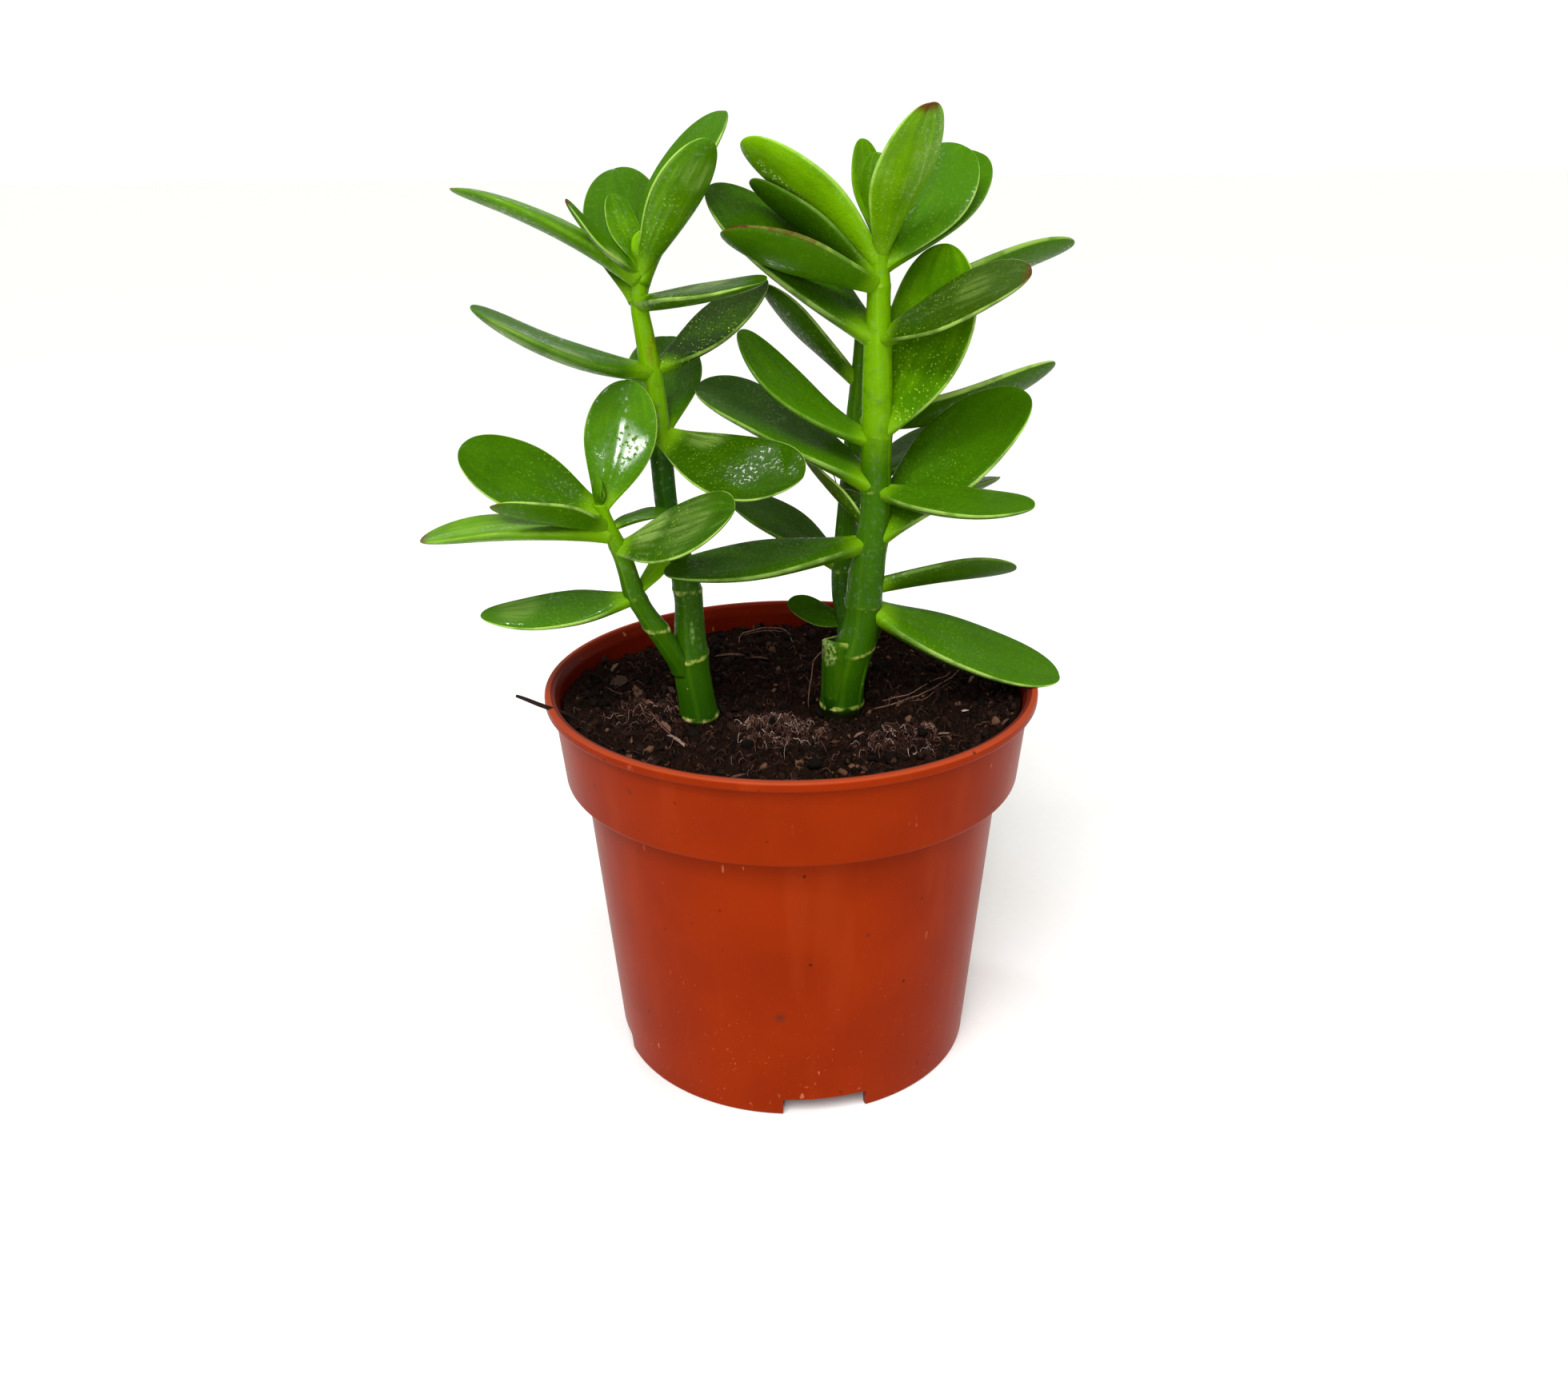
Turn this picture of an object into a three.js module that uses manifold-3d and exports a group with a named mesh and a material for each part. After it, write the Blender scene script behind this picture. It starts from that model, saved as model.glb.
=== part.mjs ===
// A jade plant in a round nursery pot. Two cuttings grow side by side in potting mix: each has a thick
// trunk that forks into two leafy stems, with fleshy leaves in opposite pairs.
// Millimetres, +Z up. The front is -Y, and the pot's axis is the origin while the pieces are made.
import * as THREE from "three";
import { mergeVertices } from "three/addons/utils/BufferGeometryUtils.js";
import Module from "manifold-3d";

const wasm = await Module();
wasm.setup();

// Pot: a thin moulded shell, a plain tapering body under a wider collar with a rolled lip.
const RIM_DIAMETER = 120;
const POT_HEIGHT = 96;
const POT_WALL = 1.3;
const LIP_HEIGHT = 2.4;
const LIP_OVERHANG = 2;
const LIP_WIDTH = 2.2;
const COLLAR_FOOT_HEIGHT = 73.8;
const COLLAR_FOOT_RADIUS = 55.9;
const BODY_TOP_RADIUS = 51.6;
const FOOT_RADIUS = 44.8;
const FOOT_RING_WIDTH = 1.6;
const BASE_HEIGHT = 4.8;
const EDGE_FILLET = 0.8;
const NOTCH = { width: 20.5, height: 4.5, azimuth: -80.5, count: 4 };
const DRAIN_HOLE = { diameter: 7, ring: 35, count: 8 };
const POT_SEGMENTS = 72;

// Soil: fills the pot to just under the lip, with a low uneven surface.
const SOIL_LEVEL = 89;
const SOIL_SEGMENTS = 48;
const SOIL_RINGS = [50, 44, 37, 30, 23, 16, 9];
const SOIL_MOUNDS = [
  { x: -3, y: -20, radius: 9, height: 2.2 },
  { x: 25, y: -25, radius: 8, height: 1.8 },
  { x: -31, y: -12, radius: 8, height: 1.2 },
  { x: 12, y: -4, radius: 15, height: -2 },
  { x: -21, y: -11, radius: 9, height: -1.2 },
  { x: 15, y: 20, radius: 14, height: 1.4 },
  { x: -20, y: 26, radius: 12, height: 1.2 },
];

// Clear gap between two pieces that rest against each other.
const SEAT_GAP = 0.3;

// Leaf: a flat fleshy paddle, narrow at its foot and widest past the middle.
const LEAF_STATIONS = [0, 0.12, 0.28, 0.45, 0.62, 0.78, 0.9, 0.97, 1];
const LEAF_SIDES = 8;
const LEAF_FOOT_SHARE = 0.24;
const LEAF_WIDEST = 0.6;
const LEAF_THICKNESS_SHARE = 0.095;
const LEAF_LEAST_THICKNESS = 1.6;
const LEAF_TOP_SHARE = 0.4;
const LEAF_CUP = 0.12;

// Stem: near round, with a raised ring scar where an old pair of leaves was.
const STEM_SIDES = 10;
const RING_HALF_HEIGHT = 1.3;
const RING_SWELLING = 0.7;

const COLOURS = { pot: 0xa0360f, soil: 0x2b1b13, leftPlant: 0x4c7a1c, rightPlant: 0x5c8a20 };

// One place on a stem's axis, with the stem's diameter there.
const at = (x, y, z, diameter) => ({ x, y, z, diameter });

// One leaf: the height on its stem, the heading (0 to +X, 90 to the back), the rise of its foot above
// level, the curl that the rise gains up to the tip and the roll about its midrib, all in degrees, then
// its length and width.
const leaf = (z, heading, rise, curl, roll, length, width) => ({
  z, heading, rise, curl, roll, length, width,
});

const LEFT_TALL_STEM = {
  axis: [
    at(-22, -9, 62, 8), at(-22, -9, 88, 9), at(-24, -8, 103, 8.6), at(-24, -7, 112, 7.2),
    at(-24, -6, 120, 6.4), at(-26, -6, 130, 5.8), at(-28.5, -5, 140, 5.2), at(-29.5, -5, 157, 5.2),
    at(-30, -5, 166, 5), at(-32, -5, 181, 4.3), at(-33, -5, 187, 3.8), at(-32, -5, 194, 3.2),
  ],
  rings: [90.5, 106, 120, 157, 172],
  stubs: [],
  leaves: [
    leaf(157, -28, -22, 30, 30, 37, 17),
    leaf(157, 89, 34, 0, 0, 33, 18),
    leaf(172, -155, 10, 25, -8, 43, 20),
    leaf(172, 35, 18, 24, 5, 36, 13.5),
    leaf(187, -42, 7, 3, 18, 38, 15),
    leaf(187, 106, 55, -10, -20, 35, 18),
    leaf(190, 180, 42, -30, 0, 46, 20),
    leaf(191, 38, 70, -28, 0, 41, 18),
    leaf(193, -150, 34, 22, -30, 25, 11),
    leaf(193, -34, 60, -10, 0, 34, 15),
    leaf(194, 150, 55, 10, -10, 16, 9),
    leaf(194, -70, 70, 0, 0, 9, 5),
  ],
};

const LEFT_LOW_STEM = {
  axis: [
    at(-25, -9, 101, 6), at(-31, -12, 113, 5.6), at(-36, -14, 122, 5), at(-37, -15, 128, 4.6),
    at(-38.5, -16, 134, 4.2), at(-41, -17, 140, 3.8), at(-42.5, -18, 145, 3.2),
  ],
  rings: [114],
  stubs: [],
  leaves: [
    leaf(122, -178, -17, 16, -16, 36, 15),
    leaf(122, 5, 64, 0, 60, 14, 8),
    leaf(135.5, -172, 16, -26, 0, 43, 20),
    leaf(134, -40, 18, 10, 40, 38, 18),
    leaf(141, -130, 12, 12, -12, 35, 16),
    leaf(139, 30, 18, -20, 0, 15, 8),
    leaf(143, 178, 20, 12, -38, 34, 18),
    leaf(144, -42, 60, 25, -30, 29, 16),
  ],
};

const RIGHT_MAIN_STEM = {
  axis: [
    at(12, -3, 62, 9.5), at(12, -3, 88, 10.2), at(13, -3, 97, 10), at(15, -3, 104, 9.6),
    at(17, -3, 111, 8.8), at(18, -3, 124, 8.4), at(20, -3, 138, 7), at(20, -3, 150, 7),
    at(20, -3, 171, 6.8), at(20, -3, 185, 5.4), at(20, -3, 198, 4),
  ],
  rings: [91, 105.5, 124, 144, 157, 178],
  // The cut end of an old side shoot at the left, and a healed knob at the right.
  stubs: [
    [at(10.5, -4, 91, 5.4), at(9, -4.5, 108.5, 4.6)],
    [at(15, 0, 96, 6), at(21, 1, 111, 4.5)],
  ],
  leaves: [
    leaf(116, 4, -23, 2, 16, 53, 22),
    leaf(123, 15, -8, 12, -36, 38, 15),
    leaf(131, -163, -7, 7, -8, 49, 20),
    leaf(131, 12, 45, -12, 24, 50, 24),
    leaf(134, 155, 42, 0, 35, 24, 9),
    leaf(144, -36, -4, 14, 10, 40, 15.5),
    leaf(144, 170, 37, -17, 0, 48, 23),
    leaf(156, -175, 23, 30, -24, 41, 19),
    leaf(157, 9, 50, 44, 36, 46, 23),
    leaf(178, -36, 27, -6, 34, 41, 18),
    leaf(178, 162, 38, 3, -16, 51, 24),
    leaf(190, -152, 16, 7, 20, 40, 18),
    leaf(191, 162, 36, -4, 30, 36, 17),
    leaf(195, 176, 48, -15, 37, 39, 18),
    leaf(194, 34, 29, 8, 18, 37, 17),
    leaf(197, -66, 57, -3, 12, 37, 16),
    leaf(195, 58, 42, -3, 20, 41, 19),
    leaf(199, 133, 69, 12, 0, 21, 10),
    leaf(199, -110, 78, 5, 0, 19, 8),
  ],
};

const RIGHT_REAR_STEM = {
  axis: [
    at(14, -2, 97, 5.5), at(14.5, 4, 106, 5.8), at(13, 8.5, 116, 6), at(14, 11, 130, 5.8),
    at(15, 11, 145, 5), at(16, 11, 160, 4.4), at(17, 11, 172, 3.8), at(17, 11, 178, 3),
  ],
  rings: [121, 140, 157],
  stubs: [],
  leaves: [
    leaf(108, 165, 6, 18, -22, 17, 10),
    leaf(121, 146, 26, -6, 0, 38, 17),
    leaf(134, 22, 6, 5, -12, 42, 17),
    leaf(140, 33, 22, 0, -10, 36, 18),
    leaf(158, 18, -4, 32, -32, 52, 19),
    leaf(161, 30, 8, 5, -20, 24, 12),
    leaf(166, 172, 44, 0, 36, 32, 14),
    leaf(177, 11, 29, -18, -23, 52, 21),
  ],
};

const radians = THREE.MathUtils.degToRad;
const mix = THREE.MathUtils.lerp;

// A closed three.js geometry as a solid that can be joined and cut. Faces with no area are dropped.
function solidOf(geometry) {
  const bare = geometry.clone();
  bare.deleteAttribute("normal");
  bare.deleteAttribute("uv");
  const merged = mergeVertices(bare, 1e-4);
  const corners = merged.index.array;
  const kept = [];
  for (let i = 0; i < corners.length; i += 3) {
    const [a, b, c] = corners.slice(i, i + 3);
    if (a !== b && b !== c && c !== a) kept.push(a, b, c);
  }
  return new wasm.Manifold(
    new wasm.Mesh({
      numProp: 3,
      vertProperties: merged.attributes.position.array,
      triVerts: Uint32Array.from(kept),
    }),
  );
}

// A solid as a named mesh with its material.
function meshOf(name, solid, colour, roughness) {
  const made = solid.getMesh();
  const geometry = new THREE.BufferGeometry();
  geometry.setAttribute("position", new THREE.BufferAttribute(made.vertProperties, 3));
  geometry.setIndex(new THREE.BufferAttribute(made.triVerts, 1));
  geometry.computeVertexNormals();
  const material = new THREE.MeshStandardMaterial({ color: colour, roughness, metalness: 0 });
  const mesh = new THREE.Mesh(geometry, material);
  mesh.name = name;
  return mesh;
}

// A closed cylinder of unit radius whose vertices are all moved by place(across, along, lift): across
// and lift run from -1 to 1 over its section, and along from 0 at its foot to 1 at its top.
function shapedCylinder(sides, steps, place) {
  const geometry = new THREE.CylinderGeometry(1, 1, 1, sides, steps);
  const position = geometry.attributes.position;
  for (let i = 0; i < position.count; i++) {
    const moved = place(position.getX(i), position.getY(i) + 0.5, -position.getZ(i));
    position.setXYZ(i, moved.x, moved.y, moved.z);
  }
  return geometry;
}

// The axis place of a stem at any height, read between the places that are given.
function axisAt(axis, z) {
  const above = axis.findIndex((place) => place.z >= z);
  if (above === 0) return axis[0];
  if (above < 0) return axis[axis.length - 1];
  const [low, high] = [axis[above - 1], axis[above]];
  const share = (z - low.z) / (high.z - low.z);
  return at(mix(low.x, high.x, share), mix(low.y, high.y, share), z,
    mix(low.diameter, high.diameter, share));
}

// A stem from its foot to its top: level round sections on its axis, with each ring scar as a swelling.
// The extra radius makes the clearance that a neighbour or the soil is cut with.
function stemSolid({ axis, rings }, extraRadius = 0) {
  const ringSteps = rings.flatMap((z) => [z - RING_HALF_HEIGHT, z, z + RING_HALF_HEIGHT]);
  const heights = [...axis.map((place) => place.z), ...ringSteps].sort((a, b) => a - b);
  heights[0] -= extraRadius;
  return solidOf(
    shapedCylinder(STEM_SIDES, heights.length - 1, (across, along, lift) => {
      const z = heights[Math.round(along * (heights.length - 1))];
      const place = axisAt(axis, z);
      const swelling = rings.includes(z) ? RING_SWELLING : 0;
      const radius = place.diameter / 2 + swelling + extraRadius;
      return new THREE.Vector3(place.x + radius * across, place.y + radius * lift, z);
    }),
  );
}

// A leaf's half-width as a share of half its full width: a quarter of a sine up to its widest place,
// then a quarter of an ellipse down to the tip.
function leafOutline(t) {
  if (t >= LEAF_WIDEST) return Math.sqrt(Math.max(0, 1 - ((t - LEAF_WIDEST) / (1 - LEAF_WIDEST)) ** 2));
  const swell = Math.sin((Math.PI / 2) * (t / LEAF_WIDEST) ** 0.9) ** 1.5;
  return LEAF_FOOT_SHARE + (1 - LEAF_FOOT_SHARE) * swell;
}

// The midrib's place along and above the leaf's heading: an arc whose slope goes from rise to rise + curl.
function midrib(rise, curl, length) {
  if (Math.abs(curl) < 1e-6) return [length * Math.cos(rise), length * Math.sin(rise)];
  const bend = length / curl;
  return [bend * (Math.sin(rise + curl) - Math.sin(rise)), bend * (Math.cos(rise) - Math.cos(rise + curl))];
}

// A leaf grown from the stem's axis, so that its foot is sunk in the stem.
function leafSolid(axis, { z, heading, rise, curl, roll, length, width }) {
  const root = axisAt(axis, z);
  const [azimuth, slope, bend, turn] = [heading, rise, curl, roll].map(radians);
  const level = new THREE.Vector3(-Math.sin(azimuth), Math.cos(azimuth), 0);
  const thickness = Math.max(LEAF_LEAST_THICKNESS, LEAF_THICKNESS_SHARE * length);
  return solidOf(
    shapedCylinder(LEAF_SIDES, LEAF_STATIONS.length - 1, (across, along, lift) => {
      const t = LEAF_STATIONS[Math.round(along * (LEAF_STATIONS.length - 1))];
      const [out, up] = midrib(slope, bend * t, length * t);
      const tilt = slope + bend * t;
      const forward = new THREE.Vector3(
        Math.cos(azimuth) * Math.cos(tilt), Math.sin(azimuth) * Math.cos(tilt), Math.sin(tilt));
      const normal = new THREE.Vector3().crossVectors(forward, level);
      const side = level.clone().applyAxisAngle(forward, turn);
      const top = normal.clone().applyAxisAngle(forward, turn);
      const halfWidth = (width / 2) * leafOutline(t);
      const full = thickness * Math.sqrt(Math.max(0, 1 - t ** 2.5));
      const share = lift > 0 ? LEAF_TOP_SHARE : 1 - LEAF_TOP_SHARE;
      const cup = LEAF_CUP * halfWidth * across ** 2;
      return new THREE.Vector3(root.x + out * Math.cos(azimuth), root.y + out * Math.sin(azimuth), z + up)
        .addScaledVector(side, across * halfWidth)
        .addScaledVector(top, lift * full * share + cup);
    }),
  );
}

// A leafy stem: the stem with its stubs and all of its leaves in one piece.
function leafyStem(stem) {
  const stubs = stem.stubs.map((axis) => stemSolid({ axis, rings: [] }));
  const leaves = stem.leaves.map((each) => leafSolid(stem.axis, each));
  return [...stubs, ...leaves].reduce((whole, piece) => whole.add(piece), stemSolid(stem));
}

// A profile of [radius, height] pairs turned round the Z axis.
function turned(profile, segments) {
  const points = profile.map(([radius, height]) => new THREE.Vector2(radius, height));
  return new THREE.LatheGeometry(points, segments).rotateX(Math.PI / 2);
}

// The inner face of the pot from its floor up to the lip, moved in by a clearance.
function potInside(clearance) {
  const floor = BASE_HEIGHT + POT_WALL + clearance;
  const ledge = COLLAR_FOOT_HEIGHT + POT_WALL + clearance;
  const inset = POT_WALL + clearance;
  const neck = RIM_DIAMETER / 2 - LIP_WIDTH - clearance;
  return {
    floor,
    ledge,
    footRadius: FOOT_RADIUS - inset,
    bodyRadius: BODY_TOP_RADIUS - inset,
    collarRadius: COLLAR_FOOT_RADIUS - inset,
    neckRadius: neck,
  };
}

function potSolid() {
  const inside = potInside(0);
  const rim = RIM_DIAMETER / 2;
  const underLip = POT_HEIGHT - LIP_HEIGHT;
  const shell = solidOf(
    turned(
      [
        [0, BASE_HEIGHT],
        [FOOT_RADIUS - FOOT_RING_WIDTH, BASE_HEIGHT],
        [FOOT_RADIUS - FOOT_RING_WIDTH, 0],
        [FOOT_RADIUS, 0],
        [BODY_TOP_RADIUS, COLLAR_FOOT_HEIGHT],
        [COLLAR_FOOT_RADIUS - EDGE_FILLET, COLLAR_FOOT_HEIGHT],
        [COLLAR_FOOT_RADIUS, COLLAR_FOOT_HEIGHT + EDGE_FILLET],
        [rim - LIP_OVERHANG, underLip],
        [rim - EDGE_FILLET / 2, underLip],
        [rim, underLip + EDGE_FILLET],
        [rim, POT_HEIGHT - EDGE_FILLET],
        [rim - EDGE_FILLET / 2, POT_HEIGHT],
        [rim - LIP_WIDTH + EDGE_FILLET / 2, POT_HEIGHT],
        [inside.neckRadius, POT_HEIGHT - EDGE_FILLET],
        [inside.neckRadius - POT_WALL, underLip],
        [inside.collarRadius, inside.ledge],
        [inside.bodyRadius, inside.ledge],
        [inside.footRadius, inside.floor],
        [0, inside.floor],
      ],
      POT_SEGMENTS,
    ),
  );
  const cuts = [];
  for (let i = 0; i < NOTCH.count; i++) {
    const block = new THREE.BoxGeometry(4 * FOOT_RING_WIDTH, NOTCH.width, 2 * NOTCH.height);
    block.translate(FOOT_RADIUS, 0, 0);
    cuts.push(solidOf(block.rotateZ(radians(NOTCH.azimuth) + (i * 2 * Math.PI) / NOTCH.count)));
  }
  for (let i = 0; i < DRAIN_HOLE.count; i++) {
    const radius = DRAIN_HOLE.diameter / 2;
    const bore = new THREE.CylinderGeometry(radius, radius, 4 * POT_WALL, 16);
    bore.rotateX(Math.PI / 2).translate(DRAIN_HOLE.ring, 0, BASE_HEIGHT);
    cuts.push(solidOf(bore.rotateZ(radians(NOTCH.azimuth) + (i * 2 * Math.PI) / DRAIN_HOLE.count)));
  }
  return cuts.reduce((whole, cut) => whole.subtract(cut), shell);
}

// The height of the soil's surface over its level: soft mounds and hollows on a shallow wave.
function soilRelief(x, y) {
  const wave = 0.5 * Math.sin(x / 7) * Math.cos(y / 9) - 0.4 * Math.cos((x + y) / 13);
  const mounds = SOIL_MOUNDS.map(
    (mound) => mound.height * Math.exp(-((x - mound.x) ** 2 + (y - mound.y) ** 2) / mound.radius ** 2));
  return mounds.reduce((sum, height) => sum + height, wave);
}

// The soil: it follows the inside of the pot, and each trunk stands in a hole in it.
function soilSolid(trunks) {
  const inside = potInside(SEAT_GAP);
  const collarShare = (SOIL_LEVEL - inside.ledge) / (POT_HEIGHT - LIP_HEIGHT - inside.ledge);
  const edge = mix(inside.collarRadius, inside.neckRadius - POT_WALL, collarShare);
  const body = turned(
    [
      [0, inside.floor],
      [inside.footRadius, inside.floor],
      [inside.bodyRadius, inside.ledge],
      [inside.collarRadius, inside.ledge],
      [edge, SOIL_LEVEL],
      ...SOIL_RINGS.map((radius) => [radius, SOIL_LEVEL]),
      [0, SOIL_LEVEL],
    ],
    SOIL_SEGMENTS,
  );
  const position = body.attributes.position;
  for (let i = 0; i < position.count; i++) {
    const [x, y, z] = [position.getX(i), position.getY(i), position.getZ(i)];
    const onTop = Math.abs(z - SOIL_LEVEL) < 0.01 && Math.hypot(x, y) < edge - 0.5;
    if (onTop) position.setZ(i, z + soilRelief(x, y));
  }
  return trunks.reduce((whole, trunk) => whole.subtract(stemSolid(trunk, SEAT_GAP)), solidOf(body));
}

const plant = new THREE.Group();
const leftTall = leafyStem(LEFT_TALL_STEM);
const rightMain = leafyStem(RIGHT_MAIN_STEM);
const leftLow = leafyStem(LEFT_LOW_STEM).subtract(stemSolid(LEFT_TALL_STEM, SEAT_GAP));
const rightStubs = RIGHT_MAIN_STEM.stubs.map((axis) => stemSolid({ axis, rings: [] }, SEAT_GAP));
const rightRear = rightStubs.reduce(
  (whole, stub) => whole.subtract(stub),
  leafyStem(RIGHT_REAR_STEM).subtract(stemSolid(RIGHT_MAIN_STEM, SEAT_GAP)),
);
plant.add(
  meshOf("pot", potSolid(), COLOURS.pot, 0.42),
  meshOf("soil", soilSolid([LEFT_TALL_STEM, RIGHT_MAIN_STEM]), COLOURS.soil, 0.95),
  meshOf("left_plant_tall_stem", leftTall, COLOURS.leftPlant, 0.4),
  meshOf("left_plant_low_stem", leftLow, COLOURS.leftPlant, 0.4),
  meshOf("right_plant_main_stem", rightMain, COLOURS.rightPlant, 0.4),
  meshOf("right_plant_rear_stem", rightRear, COLOURS.rightPlant, 0.4),
);

// The origin is moved to the middle of the foot of the whole object's bounding box.
const centre = new THREE.Box3().setFromObject(plant).getCenter(new THREE.Vector3());
plant.position.set(-centre.x, -centre.y, 0);
const pottedPlant = new THREE.Group().add(plant);

export default pottedPlant;
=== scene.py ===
import bpy
import numpy as np
from mathutils import Matrix, Vector


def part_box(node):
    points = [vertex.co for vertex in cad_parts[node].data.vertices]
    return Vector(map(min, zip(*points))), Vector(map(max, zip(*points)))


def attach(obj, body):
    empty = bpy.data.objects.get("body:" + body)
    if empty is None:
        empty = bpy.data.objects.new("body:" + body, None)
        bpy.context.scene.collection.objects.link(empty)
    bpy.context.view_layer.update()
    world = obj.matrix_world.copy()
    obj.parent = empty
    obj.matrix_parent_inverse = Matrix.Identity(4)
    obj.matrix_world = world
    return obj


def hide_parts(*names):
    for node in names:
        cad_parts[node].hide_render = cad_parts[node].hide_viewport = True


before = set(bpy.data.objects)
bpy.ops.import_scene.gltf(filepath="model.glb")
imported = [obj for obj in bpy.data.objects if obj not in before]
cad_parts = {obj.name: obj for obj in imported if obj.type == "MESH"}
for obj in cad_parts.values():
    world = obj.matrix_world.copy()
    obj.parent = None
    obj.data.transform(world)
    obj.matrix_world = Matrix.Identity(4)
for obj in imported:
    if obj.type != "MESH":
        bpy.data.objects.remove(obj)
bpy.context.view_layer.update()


# ---- Pot -----------------------------------------------------------------------------------------
# A 12 cm nursery pot, injection moulded in one piece from orange-red plastic: a tapered body, a wider
# collar, a rolled lip, and a raised base with drain holes and a foot ring with four notches.

MM = 0.001
pot_low, pot_high = (np.array(corner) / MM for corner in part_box("pot"))
pot_axis = np.array([(pot_low[0] + pot_high[0]) / 2, (pot_low[1] + pot_high[1]) / 2, 0])
RIM = (pot_high[0] - pot_low[0]) / 2
POT_TOP = pot_high[2]
WALL = 1.3
LIP_HEIGHT = 2.4
COLLAR_FOOT = 73.8
BASE = 4.8
FOOT_RING = 1.6
FOOT_RADIUS = 44.8
BODY_TOP_RADIUS = 51.6
COLLAR_RADIUS = 55.9
LIP_OVERHANG = 2
LIP_WIDTH = 2.2
NOTCH_WIDTH = 20.5
NOTCH_HEIGHT = 4.5
NOTCH_CORNER = 0.9
NOTCH_AZIMUTHS = -80.5 + 90 * np.arange(4)
HOLE_AZIMUTHS = -80.5 + 45 * np.arange(8)
HOLE_RING = 35
HOLE_RADIUS = 3.5


class Value:
    """A socket in a finish. Arithmetic on it adds Math nodes."""

    def __init__(self, finish, socket):
        self.finish, self.socket = finish, socket

    def math(self, operation, *terms):
        return self.finish.add("Math", {"operation": operation}, dict(enumerate(terms)))

    def __add__(self, other): return self.math("ADD", self, other)
    def __radd__(self, other): return self.math("ADD", other, self)
    def __sub__(self, other): return self.math("SUBTRACT", self, other)
    def __rsub__(self, other): return self.math("SUBTRACT", other, self)
    def __mul__(self, other): return self.math("MULTIPLY", self, other)
    def __rmul__(self, other): return self.math("MULTIPLY", other, self)
    def __abs__(self): return self.math("ABSOLUTE", self)


class Nodes:
    """The nodes of a material or of the sky, which add() makes one at a time."""

    def __init__(self, tree):
        self.tree = tree

    def add(self, kind, settings, sockets, output=0):
        """A node of a kind: its settings are set first, then its sockets' values or links."""
        node = self.tree.nodes.new("ShaderNode" + kind)
        for name, value in settings.items():
            setattr(node, name, value)
        for key, value in sockets.items():
            if isinstance(value, Value):
                self.tree.links.new(value.socket, node.inputs[key])
            else:
                node.inputs[key].default_value = value
        return Value(self, node.outputs[output])

    def smooth(self, value, low, high, to_low=0, to_high=1):
        """The value's place between low and high, eased, from to_low to to_high."""
        settings = {"interpolation_type": "SMOOTHSTEP"}
        return self.add("MapRange", settings, {0: value, 1: low, 2: high, 3: to_low, 4: to_high})

    def blend(self, mask, first, second):
        """The first colour where the mask is 0 and the second where it is 1."""
        return self.add("Mix", {"data_type": "RGBA"}, {0: mask, 6: first, 7: second}, 2)


class Finish(Nodes):
    """A material. Its shader's constant sockets are set before any other node is made."""

    def __init__(self, name, **constants):
        self.material = bpy.data.materials.new(name)
        self.material.use_nodes = True
        super().__init__(self.material.node_tree)
        self.shader = self.tree.nodes["Principled BSDF"]
        for socket, value in constants.items():
            self.shader.inputs[socket.replace("_", " ")].default_value = value
        self.place = self.add("TexCoord", {}, {}, "Object")

    def noise(self, size, detail=2, where=None):
        """Noise from 0 to 1 whose lumps are about size millimetres across."""
        sockets = {"Vector": where or self.place, "Scale": 1 / (size * MM), "Detail": detail}
        return self.add("TexNoise", {}, sockets, "Fac")

    def cells(self, size):
        """The distance from points strewn about size millimetres apart, as a share of the size."""
        sockets = {"Vector": self.place, "Scale": 1 / (size * MM)}
        return self.add("TexVoronoi", {}, sockets, "Distance")

    def stretched(self, x, y, z):
        """The object place scaled along its axes, for streaks."""
        return self.add("Mapping", {}, {"Vector": self.place, "Scale": (x, y, z)})

    def near(self, centre, radius, tall=1):
        """1 at a point given in millimetres from the pot's axis, falling to 0 at the radius round it, and
        at tall times the radius above and below it."""
        there = tuple((np.asarray(centre, float) + pot_axis) * MM / (1, 1, tall))
        place = self.place if tall == 1 else self.stretched(1, 1, 1 / tall)
        gap = self.add("VectorMath", {"operation": "DISTANCE"}, {0: place, 1: there}, "Value")
        return self.smooth(gap, 0, radius * MM, 1, 0)

    def height(self):
        """The height above the floor in metres."""
        return self.add("SeparateXYZ", {}, {"Vector": self.place}, "Z")

    def mark(self, name):
        """A value kept on the mesh's points."""
        return self.add("Attribute", {"attribute_name": name}, {}, "Fac")

    def done(self, colour, roughness, bump, depth, gloss=None):
        """Joins colour, roughness, a coat's gloss and bump, whose depth is in millimetres, to the shader."""
        self.tree.links.new(colour.socket, self.shader.inputs["Base Color"])
        self.tree.links.new(roughness.socket, self.shader.inputs["Roughness"])
        if gloss:
            self.tree.links.new(gloss.socket, self.shader.inputs["Coat Weight"])
        normal = self.add("Bump", {}, {"Height": bump, "Distance": depth * MM})
        self.tree.links.new(normal.socket, self.shader.inputs["Normal"])
        return self.material


def srgb(red, green, blue, light=1.0):
    """A colour read off a picture, 0 to 255, as linear light, made lighter or darker by a factor."""
    share = np.array([red, green, blue]) / 255
    linear = np.where(share < 0.04045, share / 12.92, ((share + 0.055) / 1.055) ** 2.4) * light
    return (*linear.tolist(), 1)


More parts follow.
